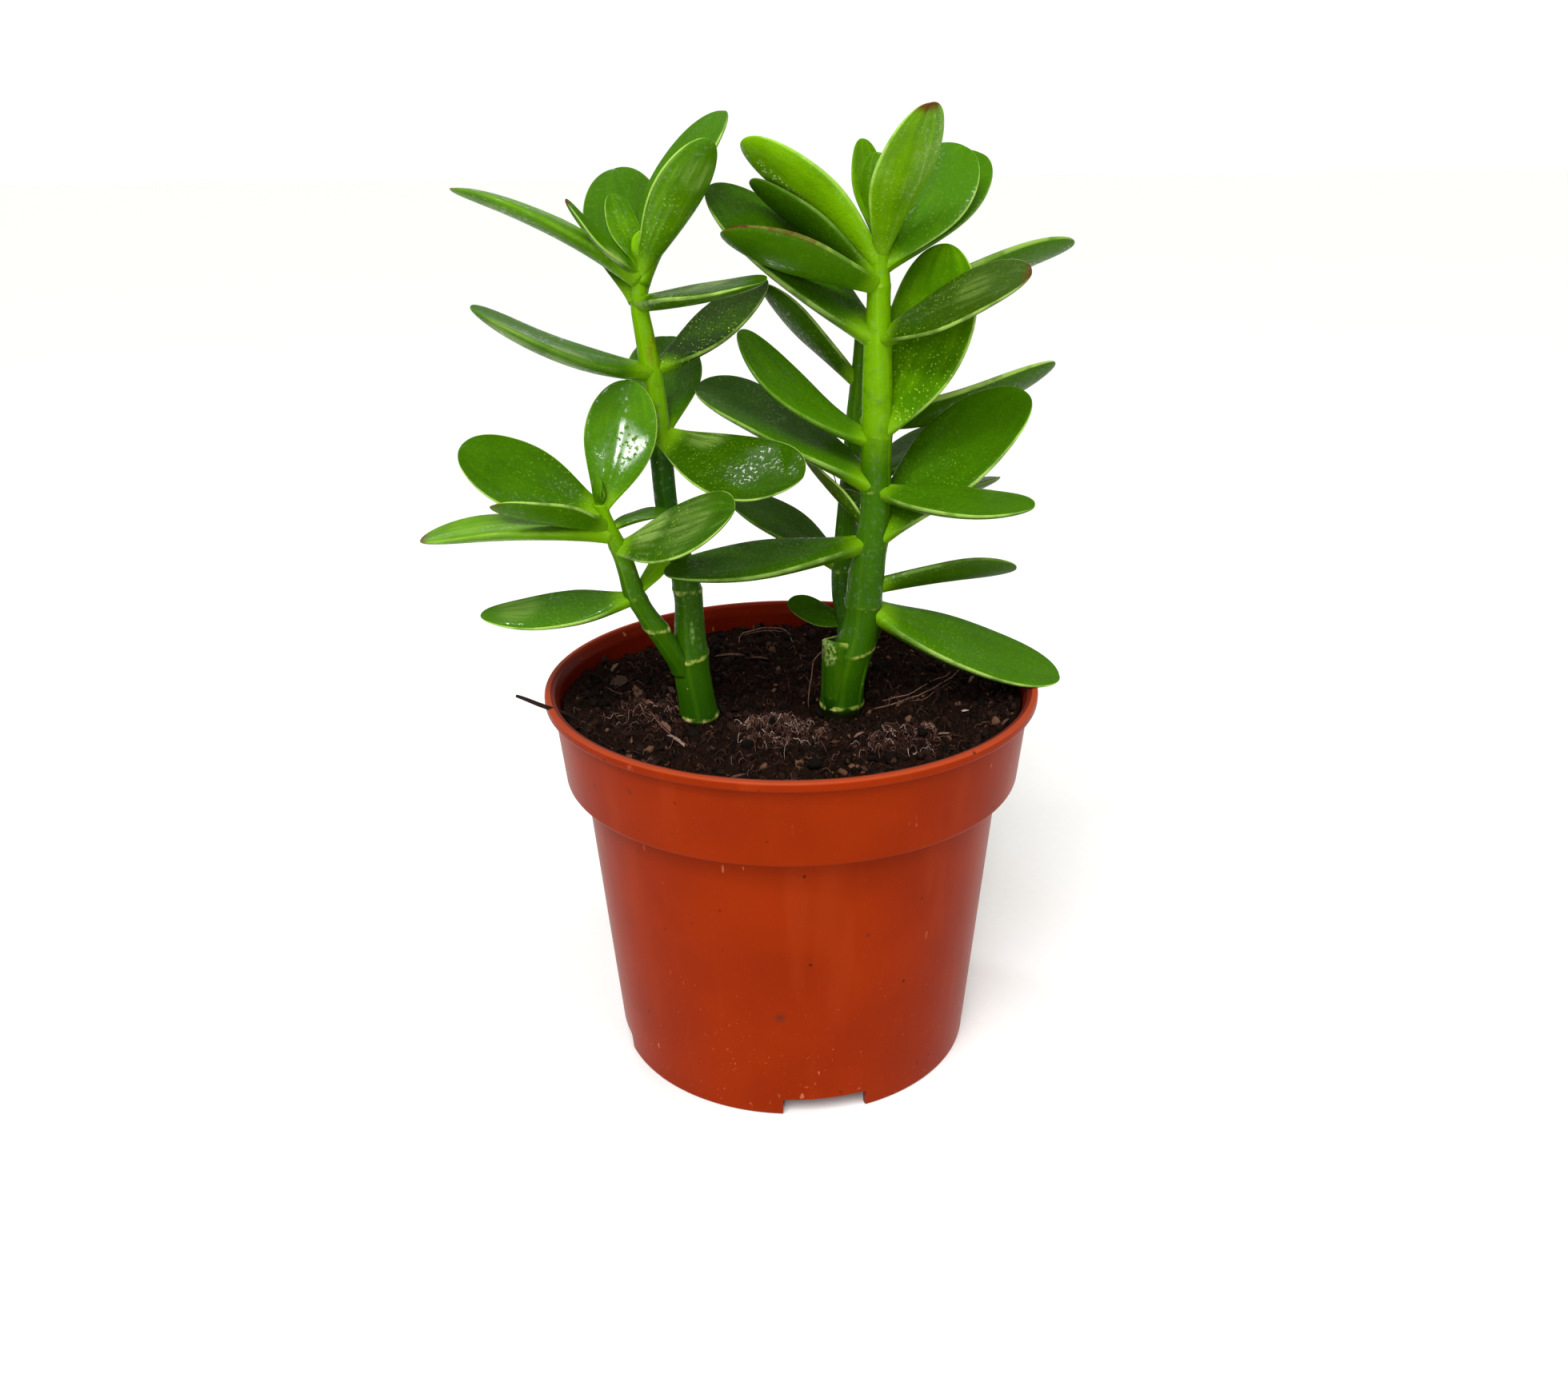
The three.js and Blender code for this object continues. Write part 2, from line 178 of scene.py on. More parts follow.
def skin(surface):
    """Closed skins over grids of points. The last axes are rows, columns that run round, and channels:
    x, y, z and any marks. Axes before them number like shapes. Quads join the rows, and the first and
    the last row of each shape close on their middle."""
    surface = surface.reshape(-1, *surface.shape[-3:])
    shapes, rows, columns, channels = surface.shape
    middles = surface[:, [0, -1]].mean(2)
    points = np.concatenate([surface.reshape(shapes, -1, channels), middles], 1)
    ring = np.arange(columns)
    following = np.roll(ring, -1)
    row = columns * np.arange(rows - 1)[:, None]
    quads = np.stack([row + ring, row + following, row + columns + following, row + columns + ring], -1)
    last = (rows - 1) * columns
    first_fan = np.stack([following, ring, np.full(columns, rows * columns)], -1)
    last_fan = np.stack([last + ring, last + following, np.full(columns, rows * columns + 1)], -1)
    start = np.arange(shapes)[:, None, None] * points.shape[1]
    quads = (quads.reshape(-1, 4) + start).reshape(-1, 4)
    fans = (np.concatenate([first_fan, last_fan]) + start).reshape(-1, 3)
    return points.reshape(-1, channels), quads, fans


def piece(name, surfaces, material, node, marks=()):
    """One mesh of closed skins, in millimetres from the pot's axis. It rides on the part's one body,
    stands for a CAD node, which it hides, and takes the finish it is given."""
    points, faces = [], []
    for surface in surfaces:
        more, quads, fans = skin(surface)
        start = sum(map(len, points))
        points.append(more)
        faces += (quads + start).tolist() + (fans + start).tolist()
    points = np.concatenate(points)
    mesh = bpy.data.meshes.new(name)
    mesh.from_pydata(((points[:, :3] + pot_axis) * MM).tolist(), [], faces)
    mesh.polygons.foreach_set("use_smooth", np.ones(len(mesh.polygons), bool))
    for channel, mark in enumerate(marks, 3):
        values = mesh.attributes.new(mark, "FLOAT", "POINT").data
        values.foreach_set("value", np.ascontiguousarray(points[:, channel], np.float32))
    mesh.materials.append(material)
    made = bpy.data.objects.new(name, mesh)
    bpy.context.collection.objects.link(made)
    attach(made, "root")
    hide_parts(node)
    return made


def eased(corners, reach):
    """A profile whose corners are eased: at each one a curve leaves both sides at the same reach, with
    one more point just before and after it that keeps the sides straight."""
    corners = np.array(corners, float)
    middle = corners[1:-1, None]
    back, ahead = corners[:-2, None] - middle, corners[2:, None] - middle
    back_length, ahead_length = (np.linalg.norm(side, axis=-1, keepdims=True) for side in (back, ahead))
    reach = np.minimum(reach, 0.4 * np.minimum(back_length, ahead_length))
    start, end = middle + back / back_length * reach, middle + ahead / ahead_length * reach
    share = np.linspace(0, 1, 5)[:, None]
    curve = (1 - share) ** 2 * start + 2 * share * (1 - share) * middle + share ** 2 * end
    before = start + back / back_length * 0.2 * reach
    after = end + ahead / ahead_length * 0.2 * reach
    return np.concatenate([before, curve, after], 1).reshape(-1, 2)


def notch_rise(angle):
    """How far the foot ring's edge is cut away at each angle: level across a notch, with rounded upper
    corners and upright sides."""
    turn = angle[:, None] - np.radians(NOTCH_AZIMUTHS)
    offset = np.where(np.cos(turn) > 0, np.abs(FOOT_RADIUS * np.sin(turn)), NOTCH_WIDTH).min(1)
    corner = np.clip(offset - NOTCH_WIDTH / 2 + NOTCH_CORNER, 0, NOTCH_CORNER)
    rise = NOTCH_HEIGHT - NOTCH_CORNER + np.sqrt(NOTCH_CORNER ** 2 - corner ** 2)
    return np.where(offset < NOTCH_WIDTH / 2, rise, 0)


def pot_surface():
    """The eased profile turned round the pot's axis. Below the shoulder every point is raised by the
    notch there, by less the higher it is. The mark is 1 on the inside of the wall and 0 outside."""
    # How far from a notch's middle its upright side and its rounded corner get points.
    corner_offsets = np.array([10.28, 10.24, 10.2, 10.1, 9.95, 9.75, 9.55, 9.35])
    corner_turns = np.arcsin(corner_offsets / FOOT_RADIUS)
    edges = np.radians(NOTCH_AZIMUTHS)[:, None] + np.concatenate([-corner_turns, corner_turns])
    angle = np.unique(np.concatenate([np.linspace(0, 2 * np.pi, 300)[:-1], edges.ravel() % (2 * np.pi)]))
    taper = (BODY_TOP_RADIUS - FOOT_RADIUS) / COLLAR_FOOT
    shoulder = 6
    profile = eased([
        (3, BASE), (FOOT_RADIUS - FOOT_RING, BASE), (FOOT_RADIUS - FOOT_RING, 0), (FOOT_RADIUS, 0),
        (BODY_TOP_RADIUS - 0.1, COLLAR_FOOT), (COLLAR_RADIUS, COLLAR_FOOT),
        (RIM - LIP_OVERHANG, POT_TOP - LIP_HEIGHT), (RIM, POT_TOP - LIP_HEIGHT), (RIM, POT_TOP),
        (RIM - LIP_WIDTH, POT_TOP), (RIM - LIP_OVERHANG - WALL - 0.2, POT_TOP - LIP_HEIGHT),
        (COLLAR_RADIUS - WALL, COLLAR_FOOT + WALL), (BODY_TOP_RADIUS - WALL, COLLAR_FOOT + WALL),
        (FOOT_RADIUS - WALL, BASE + WALL), (3, BASE + WALL)], 0.75)
    outer_foot = np.array([(FOOT_RADIUS + shoulder * taper, shoulder)])
    foot_end = np.flatnonzero(profile[:, 0] > FOOT_RADIUS - 0.01)[0] + 3
    profile = np.insert(profile, foot_end, outer_foot, 0)
    radius, height = profile[:, :1], profile[:, 1:]
    limit = np.where(radius < FOOT_RADIUS - FOOT_RING + 0.3, BASE, shoulder)
    raised = notch_rise(angle) * np.clip(1 - height / limit, 0, 1)
    wider = np.where(radius > FOOT_RADIUS - 0.4, raised * taper, 0)
    x, y = (radius + wider) * np.cos(angle), (radius + wider) * np.sin(angle)
    lip_top = foot_end + 36
    inside = np.clip(np.arange(len(profile))[:, None] - lip_top, 0, 1) + 0 * angle
    return np.stack([x, y, height + raised, inside], -1)


def cut_holes(pot):
    """Cuts the drain holes: short upright cylinders on a ring, taken from the base."""
    turn = np.radians(HOLE_AZIMUTHS)[:, None, None]
    round_hole = np.linspace(0, 2 * np.pi, 33)[:-1]
    x = HOLE_RING * np.cos(turn) + HOLE_RADIUS * np.cos(round_hole)
    y = HOLE_RING * np.sin(turn) + HOLE_RADIUS * np.sin(round_hole)
    z = np.array([BASE - 2, BASE + WALL + 2])[:, None]
    points, quads, fans = skin(np.stack(np.broadcast_arrays(x, y, z), -1))
    mesh = bpy.data.meshes.new("drain_holes")
    mesh.from_pydata(((points + pot_axis) * MM).tolist(), [], quads.tolist() + fans.tolist())
    tool = bpy.data.objects.new("drain_holes", mesh)
    bpy.context.collection.objects.link(tool)
    cut = pot.modifiers.new("drain_holes", "BOOLEAN")
    cut.object, cut.operation, cut.solver = tool, "DIFFERENCE", "EXACT"
    bpy.context.view_layer.update()
    result = bpy.data.meshes.new_from_object(pot.evaluated_get(bpy.context.evaluated_depsgraph_get()))
    pot.modifiers.clear()
    pot.data = result
    bpy.data.objects.remove(tool)


def pot_plastic():
    """Satin orange-red plastic: faint flow streaks, a painted highlight along the top of the lip,
    painted shade over the inside of the wall, pale dust low down, dark specks of soil, and a few
    scuffs where they are on the real pot."""
    made = Finish("pot_plastic", Specular_IOR_Level=0.03)
    streaks = made.noise(9, 3, made.stretched(1, 1, 0.12))
    clouds = made.noise(26, 3)
    colour = made.blend(made.smooth(clouds, 0.3, 0.7), srgb(131, 36, 1), srgb(122, 32, 1))
    colour = made.blend(made.smooth(streaks, 0.52, 0.72, 0, 0.25), colour, srgb(144, 50, 14))
    # Painted highlight: a lighter band along the top of the lip, where the light from above catches it.
    lip = made.smooth(made.height(), (POT_TOP - 0.7) * MM, (POT_TOP - 0.2) * MM, 0, 0.3)
    colour = made.blend(lip, colour, srgb(196, 92, 60))
    # Painted shade: the inside of the wall is darkened to stand in for the shadow it lies in.
    colour = made.blend(made.smooth(made.mark("inside"), 0.45, 0.7, 0, 0.85), colour, srgb(84, 14, 3))
    low = made.smooth(made.height(), 0.0, 0.05, 0.6, 0.1)
    dust = made.smooth(made.noise(0.9, 3), 0.66, 0.76) * low
    colour = made.blend(dust, colour, srgb(176, 96, 66))
    specks = made.smooth(made.cells(5), 0.06, 0.1, 1, 0) * made.smooth(made.noise(14), 0.48, 0.6)
    colour = made.blend(specks * 0.85, colour, srgb(54, 20, 10))
    scratched = made.stretched(1, 1, 0.4)
    scratches = made.smooth(made.noise(1.6, 1, scratched), 0.74, 0.78) * made.smooth(made.noise(17), 0.5, 0.6)
    colour = made.blend(scratches * 0.35, colour, srgb(206, 130, 96))
    # Azimuth in degrees, height and size of each dark smudge on the outside.
    smudges = [(-94, 29.5, 2), (-118, 53, 0.6), (-129, 87, 1.2), (-142, 84, 1), (-70, 51, 0.9)]
    for azimuth, height, size in smudges:
        radius = np.interp(height, [0, COLLAR_FOOT, COLLAR_FOOT + 0.1, POT_TOP],
                           [FOOT_RADIUS, BODY_TOP_RADIUS, COLLAR_RADIUS, RIM - LIP_OVERHANG])
        turn = np.radians(azimuth)
        smudge = made.near((radius * np.cos(turn), radius * np.sin(turn), height), size)
        colour = made.blend(smudge * 0.8, colour, srgb(84, 34, 20))
    fine = made.noise(0.22, 2)
    roughness = 0.26 + 0.1 * clouds + 0.25 * dust
    return made.done(colour, roughness, fine + 3 * streaks, 0.02)


pot = piece("pot_shell", [pot_surface()], pot_plastic(), "pot", ("inside",))
cut_holes(pot)


# ---- Potting mix ---------------------------------------------------------------------------------
# Dark brown peat and coir that fills the pot to just under the lip: an uneven crumbly surface that
# dips round the trunks, strewn with loose crumbs.

MIX_LEVEL = 89
MIX_CLEARANCE = 0.3
# Each mound, or dip where its height is negative: x, y, radius and height.
MIX_MOUNDS = np.array([
    (-3, -20, 9, 2.2), (25, -25, 8, 1.8), (-31, -12, 8, 1.2), (12, -4, 15, -2),
    (-21, -11, 9, -1.2), (15, 20, 14, 1.4), (-20, 26, 12, 1.2)])
CRUMBS = 4000
CRUMB_REACH = 54.8
CRUMB_SIZES = (0.25, 1.5)
CRUMB_FLATNESS = 0.7


def lumps(x, y, size, seed):
    """Rolling lumps about size across, mostly from -1 to 1: fourteen plane waves with random headings,
    lengths and phases added together."""
    random = np.random.default_rng(seed)
    heading, phase = random.uniform(0, 2 * np.pi, (2, 14))
    wave = 2 * np.pi / size * random.uniform(0.6, 1.5, 14)
    along = x[..., None] * np.cos(heading) + y[..., None] * np.sin(heading)
    return np.sin(wave * along + phase).sum(-1) / 3.7


def mix_height(x, y):
    """The height of the mix: slow waves, a mound or a dip at each listed place, and three sizes of
    lumps, the small ones sharpened into crumbs. It climbs towards the wall, most of all in front."""
    centre_x, centre_y, radius, height = MIX_MOUNDS.T
    gap = (x[..., None] - centre_x) ** 2 + (y[..., None] - centre_y) ** 2
    mounds = (height * np.exp(-gap / radius ** 2)).sum(-1)
    slow = 0.5 * np.sin(x / 7) * np.cos(y / 9) - 0.4 * np.cos((x + y) / 13)
    crumbly = 0.5 * lumps(x, y, 7, 1) + 0.5 * lumps(x, y, 3, 2) + 0.45 * np.abs(lumps(x, y, 1.8, 3))
    far, front = np.hypot(x, y), -y / (RIM - 4)
    climb = 2.7 * np.clip(0.85 + 1.4 * front, 0, 1.1) * np.clip((far - 41) / 14, 0, 1) ** 2
    return MIX_LEVEL + slow + mounds + crumbly + climb


def mix_surface():
    """The mix as one closed body: up the inside of the pot with a clearance, then over the top in rings
    that close on the axis."""
    top_radius = np.interp(MIX_LEVEL, [COLLAR_FOOT, POT_TOP - LIP_HEIGHT],
                           [COLLAR_RADIUS - WALL, RIM - LIP_OVERHANG - WALL]) - MIX_CLEARANCE
    neck = WALL + MIX_CLEARANCE
    side = np.array([
        (2, BASE + neck), (FOOT_RADIUS - neck, BASE + neck), (BODY_TOP_RADIUS - neck, COLLAR_FOOT + neck),
        (COLLAR_RADIUS - neck, COLLAR_FOOT + neck), (top_radius, MIX_LEVEL - 3)])
    top = np.linspace(top_radius, 0.2, 128)
    radius = np.concatenate([side[:, 0], top])[:, None]
    angle = np.linspace(0, 2 * np.pi, 361)[:-1]
    x, y = radius * np.cos(angle), radius * np.sin(angle)
    body = np.broadcast_to(side[:, 1:], (len(side), len(angle)))
    z = np.concatenate([body, mix_height(x[len(side):], y[len(side):])])
    return np.stack([x, y, z], -1)


def crumb_surfaces(seed):
    """Loose crumbs: small balls of four rings, each pushed in and out at random, squashed, turned and
    half sunk in the mix, the larger ones rarer."""
    random = np.random.default_rng(seed)
    rise = np.linspace(-np.pi / 2, np.pi / 2, 6)[1:-1, None]
    turn = np.linspace(0, 2 * np.pi, 7)[:-1]
    ball = np.stack(np.broadcast_arrays(np.cos(rise) * np.cos(turn), np.cos(rise) * np.sin(turn),
                                        np.sin(rise)), -1)
    smallest, largest = CRUMB_SIZES
    size = smallest * (largest / smallest) ** random.random(CRUMBS) ** 2.2
    stretch = random.uniform(0.45, 1.3, (CRUMBS, 1, 1, 3)) * (1, 1, CRUMB_FLATNESS)
    pushed = ball * random.uniform(0.65, 1.3, (CRUMBS, *ball.shape[:2], 1)) * stretch
    pushed = pushed * size[:, None, None, None]
    axes = np.linalg.qr(random.normal(size=(CRUMBS, 3, 3)))[0]
    axes *= np.sign(np.linalg.det(axes))[:, None, None]
    pushed = np.einsum("nrci,nij->nrcj", pushed, axes)
    place, heading = CRUMB_REACH * np.sqrt(random.random(CRUMBS)), random.uniform(0, 2 * np.pi, CRUMBS)
    x, y = place * np.cos(heading), place * np.sin(heading)
    z = mix_height(x, y) + 0.25 * size
    tint = np.broadcast_to(random.random((CRUMBS, 1, 1, 1)), (*pushed.shape[:3], 1))
    return np.concatenate([pushed + np.stack([x, y, z], -1)[:, None, None], tint], -1)


def potting_mix():
    """Peat and coir: nearly black brown with redder and paler grains, rough and deeply pitted."""
    made = Finish("potting_mix", Specular_IOR_Level=0.05)
    grain = made.noise(1.1, 4)
    clumps = made.noise(7, 3)
    colour = made.blend(made.smooth(grain, 0.3, 0.7), srgb(7, 4, 2), srgb(34, 17, 10))
    colour = made.blend(made.smooth(clumps, 0.5, 0.7, 0, 0.5), colour, srgb(30, 15, 9))
    pale = made.smooth(made.cells(1.6), 0.08, 0.16, 1, 0) * made.smooth(made.noise(5), 0.5, 0.6)
    colour = made.blend(pale * 0.6, colour, srgb(92, 66, 50))
    return made.done(colour, 0.75 + 0.2 * grain, grain + 0.6 * made.noise(0.5, 3), 0.9)


def loose_crumb():
    """Single crumbs of the mix, each with its own brown."""
    made = Finish("loose_crumb", Specular_IOR_Level=0.1)
    tint = made.mark("tint")
    colour = made.blend(made.smooth(tint, 0.1, 0.8), srgb(7, 4, 2), srgb(34, 17, 10))
    colour = made.blend(made.smooth(tint, 0.9, 0.98), colour, srgb(92, 62, 46))
    grain = made.noise(0.5, 3)
    return made.done(colour, 0.7 + 0.25 * grain, grain, 0.3)


mix_finish = potting_mix()
crumb_finish = loose_crumb()
piece("potting_mix_body", [mix_surface()], mix_finish, "soil")
piece("potting_mix_crumbs", [crumb_surfaces(5)], crumb_finish, "soil", ("tint",))


# ---- Fibres, roots and bark on the mix -----------------------------------------------------------
# Coir fibres lie curled on the mix and thick on its clumps. Among them are whitish roots, torn strips of
# reddish bark, a grey flake and one stiff fibre that sticks out over the rim.

FIBRE_POINTS = 14
ROOT_POINTS = 48

# Each group of fibres: how many, their seed, the centre and the reach round it, length, thickness, how
# far they are lifted, and the range of their tints.
FIBRE_GROUPS = [
    (700, 8, (0, 0), 54, 4, 0.08, 1, (0, 0.75)),
    (420, 9, (-3, -20), 10.5, 3.5, 0.07, 1.8, (0.1, 1)),
    (210, 10, (25, -25), 9, 3.5, 0.07, 1.6, (0.1, 1)),
    (160, 11, (-34, -8), 10, 4, 0.08, 1.4, (0.1, 0.9))]


def tube(path, radius, sides):
    """Round tubes along paths that lie nearly level: at each point of a path a circle that spans the
    level direction across it and the direction over it. Both ends close on their middle."""
    ahead = np.gradient(path, axis=-2)
    ahead /= np.linalg.norm(ahead, axis=-1, keepdims=True)
    level = np.stack([-ahead[..., 1], ahead[..., 0], np.zeros(ahead.shape[:-1])], -1)
    level /= np.linalg.norm(level, axis=-1, keepdims=True)
    over = np.cross(ahead, level)
    turn = np.linspace(0, 2 * np.pi, sides + 1)[:-1, None]
    circle = np.cos(turn) * level[..., None, :] + np.sin(turn) * over[..., None, :]
    return path[..., None, :] + circle * radius[..., None, None]


def tinted(surface, tint):
    """A surface with one more channel, the tint of its finish."""
    return np.concatenate([surface, np.broadcast_to(tint, (*surface.shape[:-1], 1))], -1)


def fibre_surfaces(count, seed, centre, reach, length, thickness, lifted, tints):
    """Curly fibres round a centre: paths whose heading turns steadily and wavers, lying just over the
    mix, a little raised along their middle, with tints between the two given."""
    random = np.random.default_rng(seed)
    along = np.linspace(0, 1, FIBRE_POINTS)
    place, about = reach * np.sqrt(random.random(count)), random.uniform(0, 2 * np.pi, count)
    heading, phase = random.uniform(0, 2 * np.pi, (2, count, 1))
    size = length * random.uniform(0.35, 1.2, (count, 1))
    heading = heading + random.normal(0, 2.2, (count, 1)) * along + 0.6 * np.sin(5 * along + phase)
    x = centre[0] + (place * np.cos(about))[:, None] + size * np.cumsum(np.cos(heading), 1) / FIBRE_POINTS
    y = centre[1] + (place * np.sin(about))[:, None] + size * np.cumsum(np.sin(heading), 1) / FIBRE_POINTS
    far = np.maximum(1, np.hypot(x, y) / (RIM - 5.5))
    x, y = x / far, y / far
    lift = lifted * random.uniform(0.1, 1, (count, 1)) * np.sin(np.pi * along)
    path = np.stack([x, y, mix_height(x, y) + 0.25 + lift], -1)
    radius = thickness * random.uniform(0.5, 1.3, (count, 1)) * np.ones(FIBRE_POINTS)
    return tinted(tube(path, radius, 4), random.uniform(*tints, (count, 1, 1, 1)))


def root_surface(places, radius, waver, tint, ground=mix_height):
    """A single root or fibre through places of x, y and height over the ground, eased between them by
    averaging along it and wavering from side to side, thinner at its ends."""
    places = np.array(places, float)
    share = np.linspace(0, len(places) - 1, ROOT_POINTS)
    near = share[:, None] + np.linspace(-0.4, 0.4, 9)
    x, y, lift = (np.interp(near, np.arange(len(places)), places[:, k]) for k in range(3))
    x, y, z = x.mean(1), y.mean(1), (lift + ground(x, y)).mean(1)
    x = x + waver * np.sin(3.1 * share) + 0.2 * waver * np.sin(8 * share)
    y = y + waver * np.cos(2.6 * share)
    thin = radius * (0.45 + 0.55 * np.sin(np.pi * np.linspace(0.03, 0.97, ROOT_POINTS)) ** 0.5)
    return tinted(tube(np.stack([x, y, z], -1), thin, 6), tint)


def level_ground(x, y):
    """No ground: the places give their own heights."""
    return 0 * x


def shard_surfaces(places, seed):
    """Flat splinters, each a bent strip with rounded ends: x, y, heading in degrees, length, width, tilt
    in degrees and tint. Their edges are ragged with a random wobble."""
    random = np.random.default_rng(seed)
    x, y, heading, length, width, tilt, tint = np.array(places, float).T[:, :, None, None]
    heading, tilt = np.radians(heading), np.radians(tilt)
    along = np.linspace(-1, 1, 12)[:, None]
    turn = np.linspace(0, 2 * np.pi, 13)[:-1]
    ragged = random.uniform(0.7, 1.2, (len(x), len(along), len(turn)))
    across = width / 2 * np.sqrt(1.02 - along ** 2) * np.cos(turn) * ragged
    lift = 0.16 * np.sin(turn) + 0.7 * (1 - along ** 2) * np.abs(np.sin(tilt)) + 0.12 * across ** 2
    forward, over = length / 2 * along * ragged ** 0.3, across * np.sin(tilt)
    across = across * np.cos(tilt)
    place_x = x + forward * np.cos(heading) - across * np.sin(heading)
    place_y = y + forward * np.sin(heading) + across * np.cos(heading)
    z = mix_height(x, y) + 0.5 + lift + np.abs(over) + 0 * place_x
    return tinted(np.stack([place_x, place_y, z], -1), tint[..., None])


def fibre_finish():
    """Coir, bark and roots: reddish brown to straw by the tint, the highest tints nearly white."""
    made = Finish("coir_fibre", Specular_IOR_Level=0.15)
    tint = made.mark("tint")
    colour = made.blend(made.smooth(tint, 0, 0.4), srgb(26, 14, 9), srgb(58, 33, 25))
    colour = made.blend(made.smooth(tint, 0.45, 0.75), colour, srgb(102, 70, 58))
    colour = made.blend(made.smooth(tint, 0.75, 1), colour, srgb(184, 158, 146))
    grain = made.noise(0.5, 3)
    colour = made.blend(made.smooth(grain, 0.45, 0.7, 0, 0.6), colour, srgb(40, 24, 18))
    return made.done(colour, 0.6 + 0.2 * grain, grain, 0.1)


coir = fibre_finish()
piece("coir_fibres", [fibre_surfaces(*group) for group in FIBRE_GROUPS], coir, "soil",
      ("tint",))
piece("roots", [
    root_surface([(19, -2, 0.4), (26, 0, 0.8), (34, 4, 0.9), (40, 13, 0.8), (45, 22, 0.3)], 0.22, 0.35, 0.78),
    root_surface([(22, 2, 0.5), (29, 3, 1), (36, 10, 0.7), (42, 19, 0.4)], 0.16, 0.4, 0.8),
    root_surface([(26, -2, 0.5), (33, 1, 0.7), (38, 7, 0.9), (41, 15, 0.5)], 0.14, 0.4, 0.72),
    root_surface([(-14, 39, 0.5), (-14, 46, 1.4), (-7, 50, 2), (0, 46, 1.6), (1, 39, 0.6)], 0.22, 0.2, 0.7),
    root_surface([(-15, 45, 0.6), (-8, 51, 1), (-1, 50, 0.7)], 0.16, 0.3, 0.76),
    root_surface([(-47, 8, 0.5), (-43, 4, 1.1), (-38, 6, 0.6)], 0.16, 0.3, 0.66),
    root_surface([(-38, -2, 0.6), (-33, -12, 1), (-28, -22, 0.8), (-23, -29, 0.4)], 0.16, 0.35, 0.75),
    root_surface([(-50, -14, 90.5), (-55, -17, 95), (-59, -19.2, 97.4), (-64.5, -20.5, 100.5)], 0.55, 0.1,
                 0.02, level_ground)],
    coir, "soil", ("tint",))
piece("bark_shards", [shard_surfaces([
    (-38, 3, -75, 9, 2.6, 25, 0.62), (-35, -4, -60, 8, 2.2, 30, 0.7), (-33, -10, -70, 7, 2, 20, 0.55),
    (-30, -17, -62, 7, 1.6, 25, 0.74), (-27, -24, -55, 8, 1.2, 30, 0.85), (-30, 6, -70, 6, 1.6, 20, 0.5),
    (-43, 13, 60, 8, 5, 8, 0.5), (-28, 24, -60, 6, 2, 20, 0.7), (-16, 28, 5, 8, 1.6, 20, 0.6),
    (-9, 27, -5, 7, 1.4, 25, 0.55), (42, -8, 20, 2.2, 1.3, 10, 1), (36, -20, 0, 6, 1, 15, 0.8),
    (46, 12, 70, 5, 1, 15, 0.75), (30, -34, 15, 3, 1, 10, 0.85), (-12, -44, 30, 4, 1, 10, 0.6),
    (5, -38, 70, 3.5, 0.9, 15, 0.7), (16, -18, 50, 4, 1, 15, 0.8), (-46, 22, 80, 7, 1.2, 20, 0.7),
    (24, 38, 40, 6, 1.2, 20, 0.6), (-26, 44, 15, 7, 1.4, 20, 0.5), (50, -20, 60, 4, 1, 10, 0.6)], 21)],
    coir, "soil", ("tint",))


# ---- Stems ---------------------------------------------------------------------------------------
# Green succulent stems, grown and not made: round, smooth and tapering, with a raised ring scar where
# each old pair of leaves dropped. Each plant has one trunk, rooted in the mix, that forks in two.

RING_SWELLING = 0.7

# Each place on an axis is x, y, z and the diameter there.
LEFT_TALL_AXIS = [
    (-22, -9, 62, 8), (-22, -9, 88, 9), (-24, -8, 103, 8.6), (-24, -7, 112, 7.2), (-24, -6, 120, 6.4),
    (-26, -6, 130, 5.8), (-28.5, -5, 140, 5.2), (-29.5, -5, 157, 5.2), (-30, -5, 166, 5),
    (-32, -5, 181, 4.3), (-33, -5, 187, 3.8), (-32, -5, 194, 3.2)]
LEFT_LOW_AXIS = [
    (-25, -9, 101, 6), (-31, -12, 113, 5.6), (-36, -14, 122, 5), (-37, -15, 128, 4.6),
    (-38.5, -16, 134, 4.2), (-41, -17, 140, 3.8), (-42.5, -18, 145, 3.2)]
RIGHT_MAIN_AXIS = [
    (12, -3, 62, 9.5), (12, -3, 88, 10.2), (13, -3, 97, 10), (15, -3, 104, 9.6), (17, -3, 111, 8.8),
    (18, -3, 124, 8.4), (20, -3, 138, 7), (20, -3, 150, 7), (20, -3, 171, 6.8), (20, -3, 185, 5.4),
    (20, -3, 198, 4)]
RIGHT_REAR_AXIS = [
    (14, -2, 97, 5.5), (14.5, 4, 106, 5.8), (13, 8.5, 116, 6), (14, 11, 130, 5.8), (15, 11, 145, 5),
    (16, 11, 160, 4.4), (17, 11, 172, 3.8), (17, 11, 178, 3)]


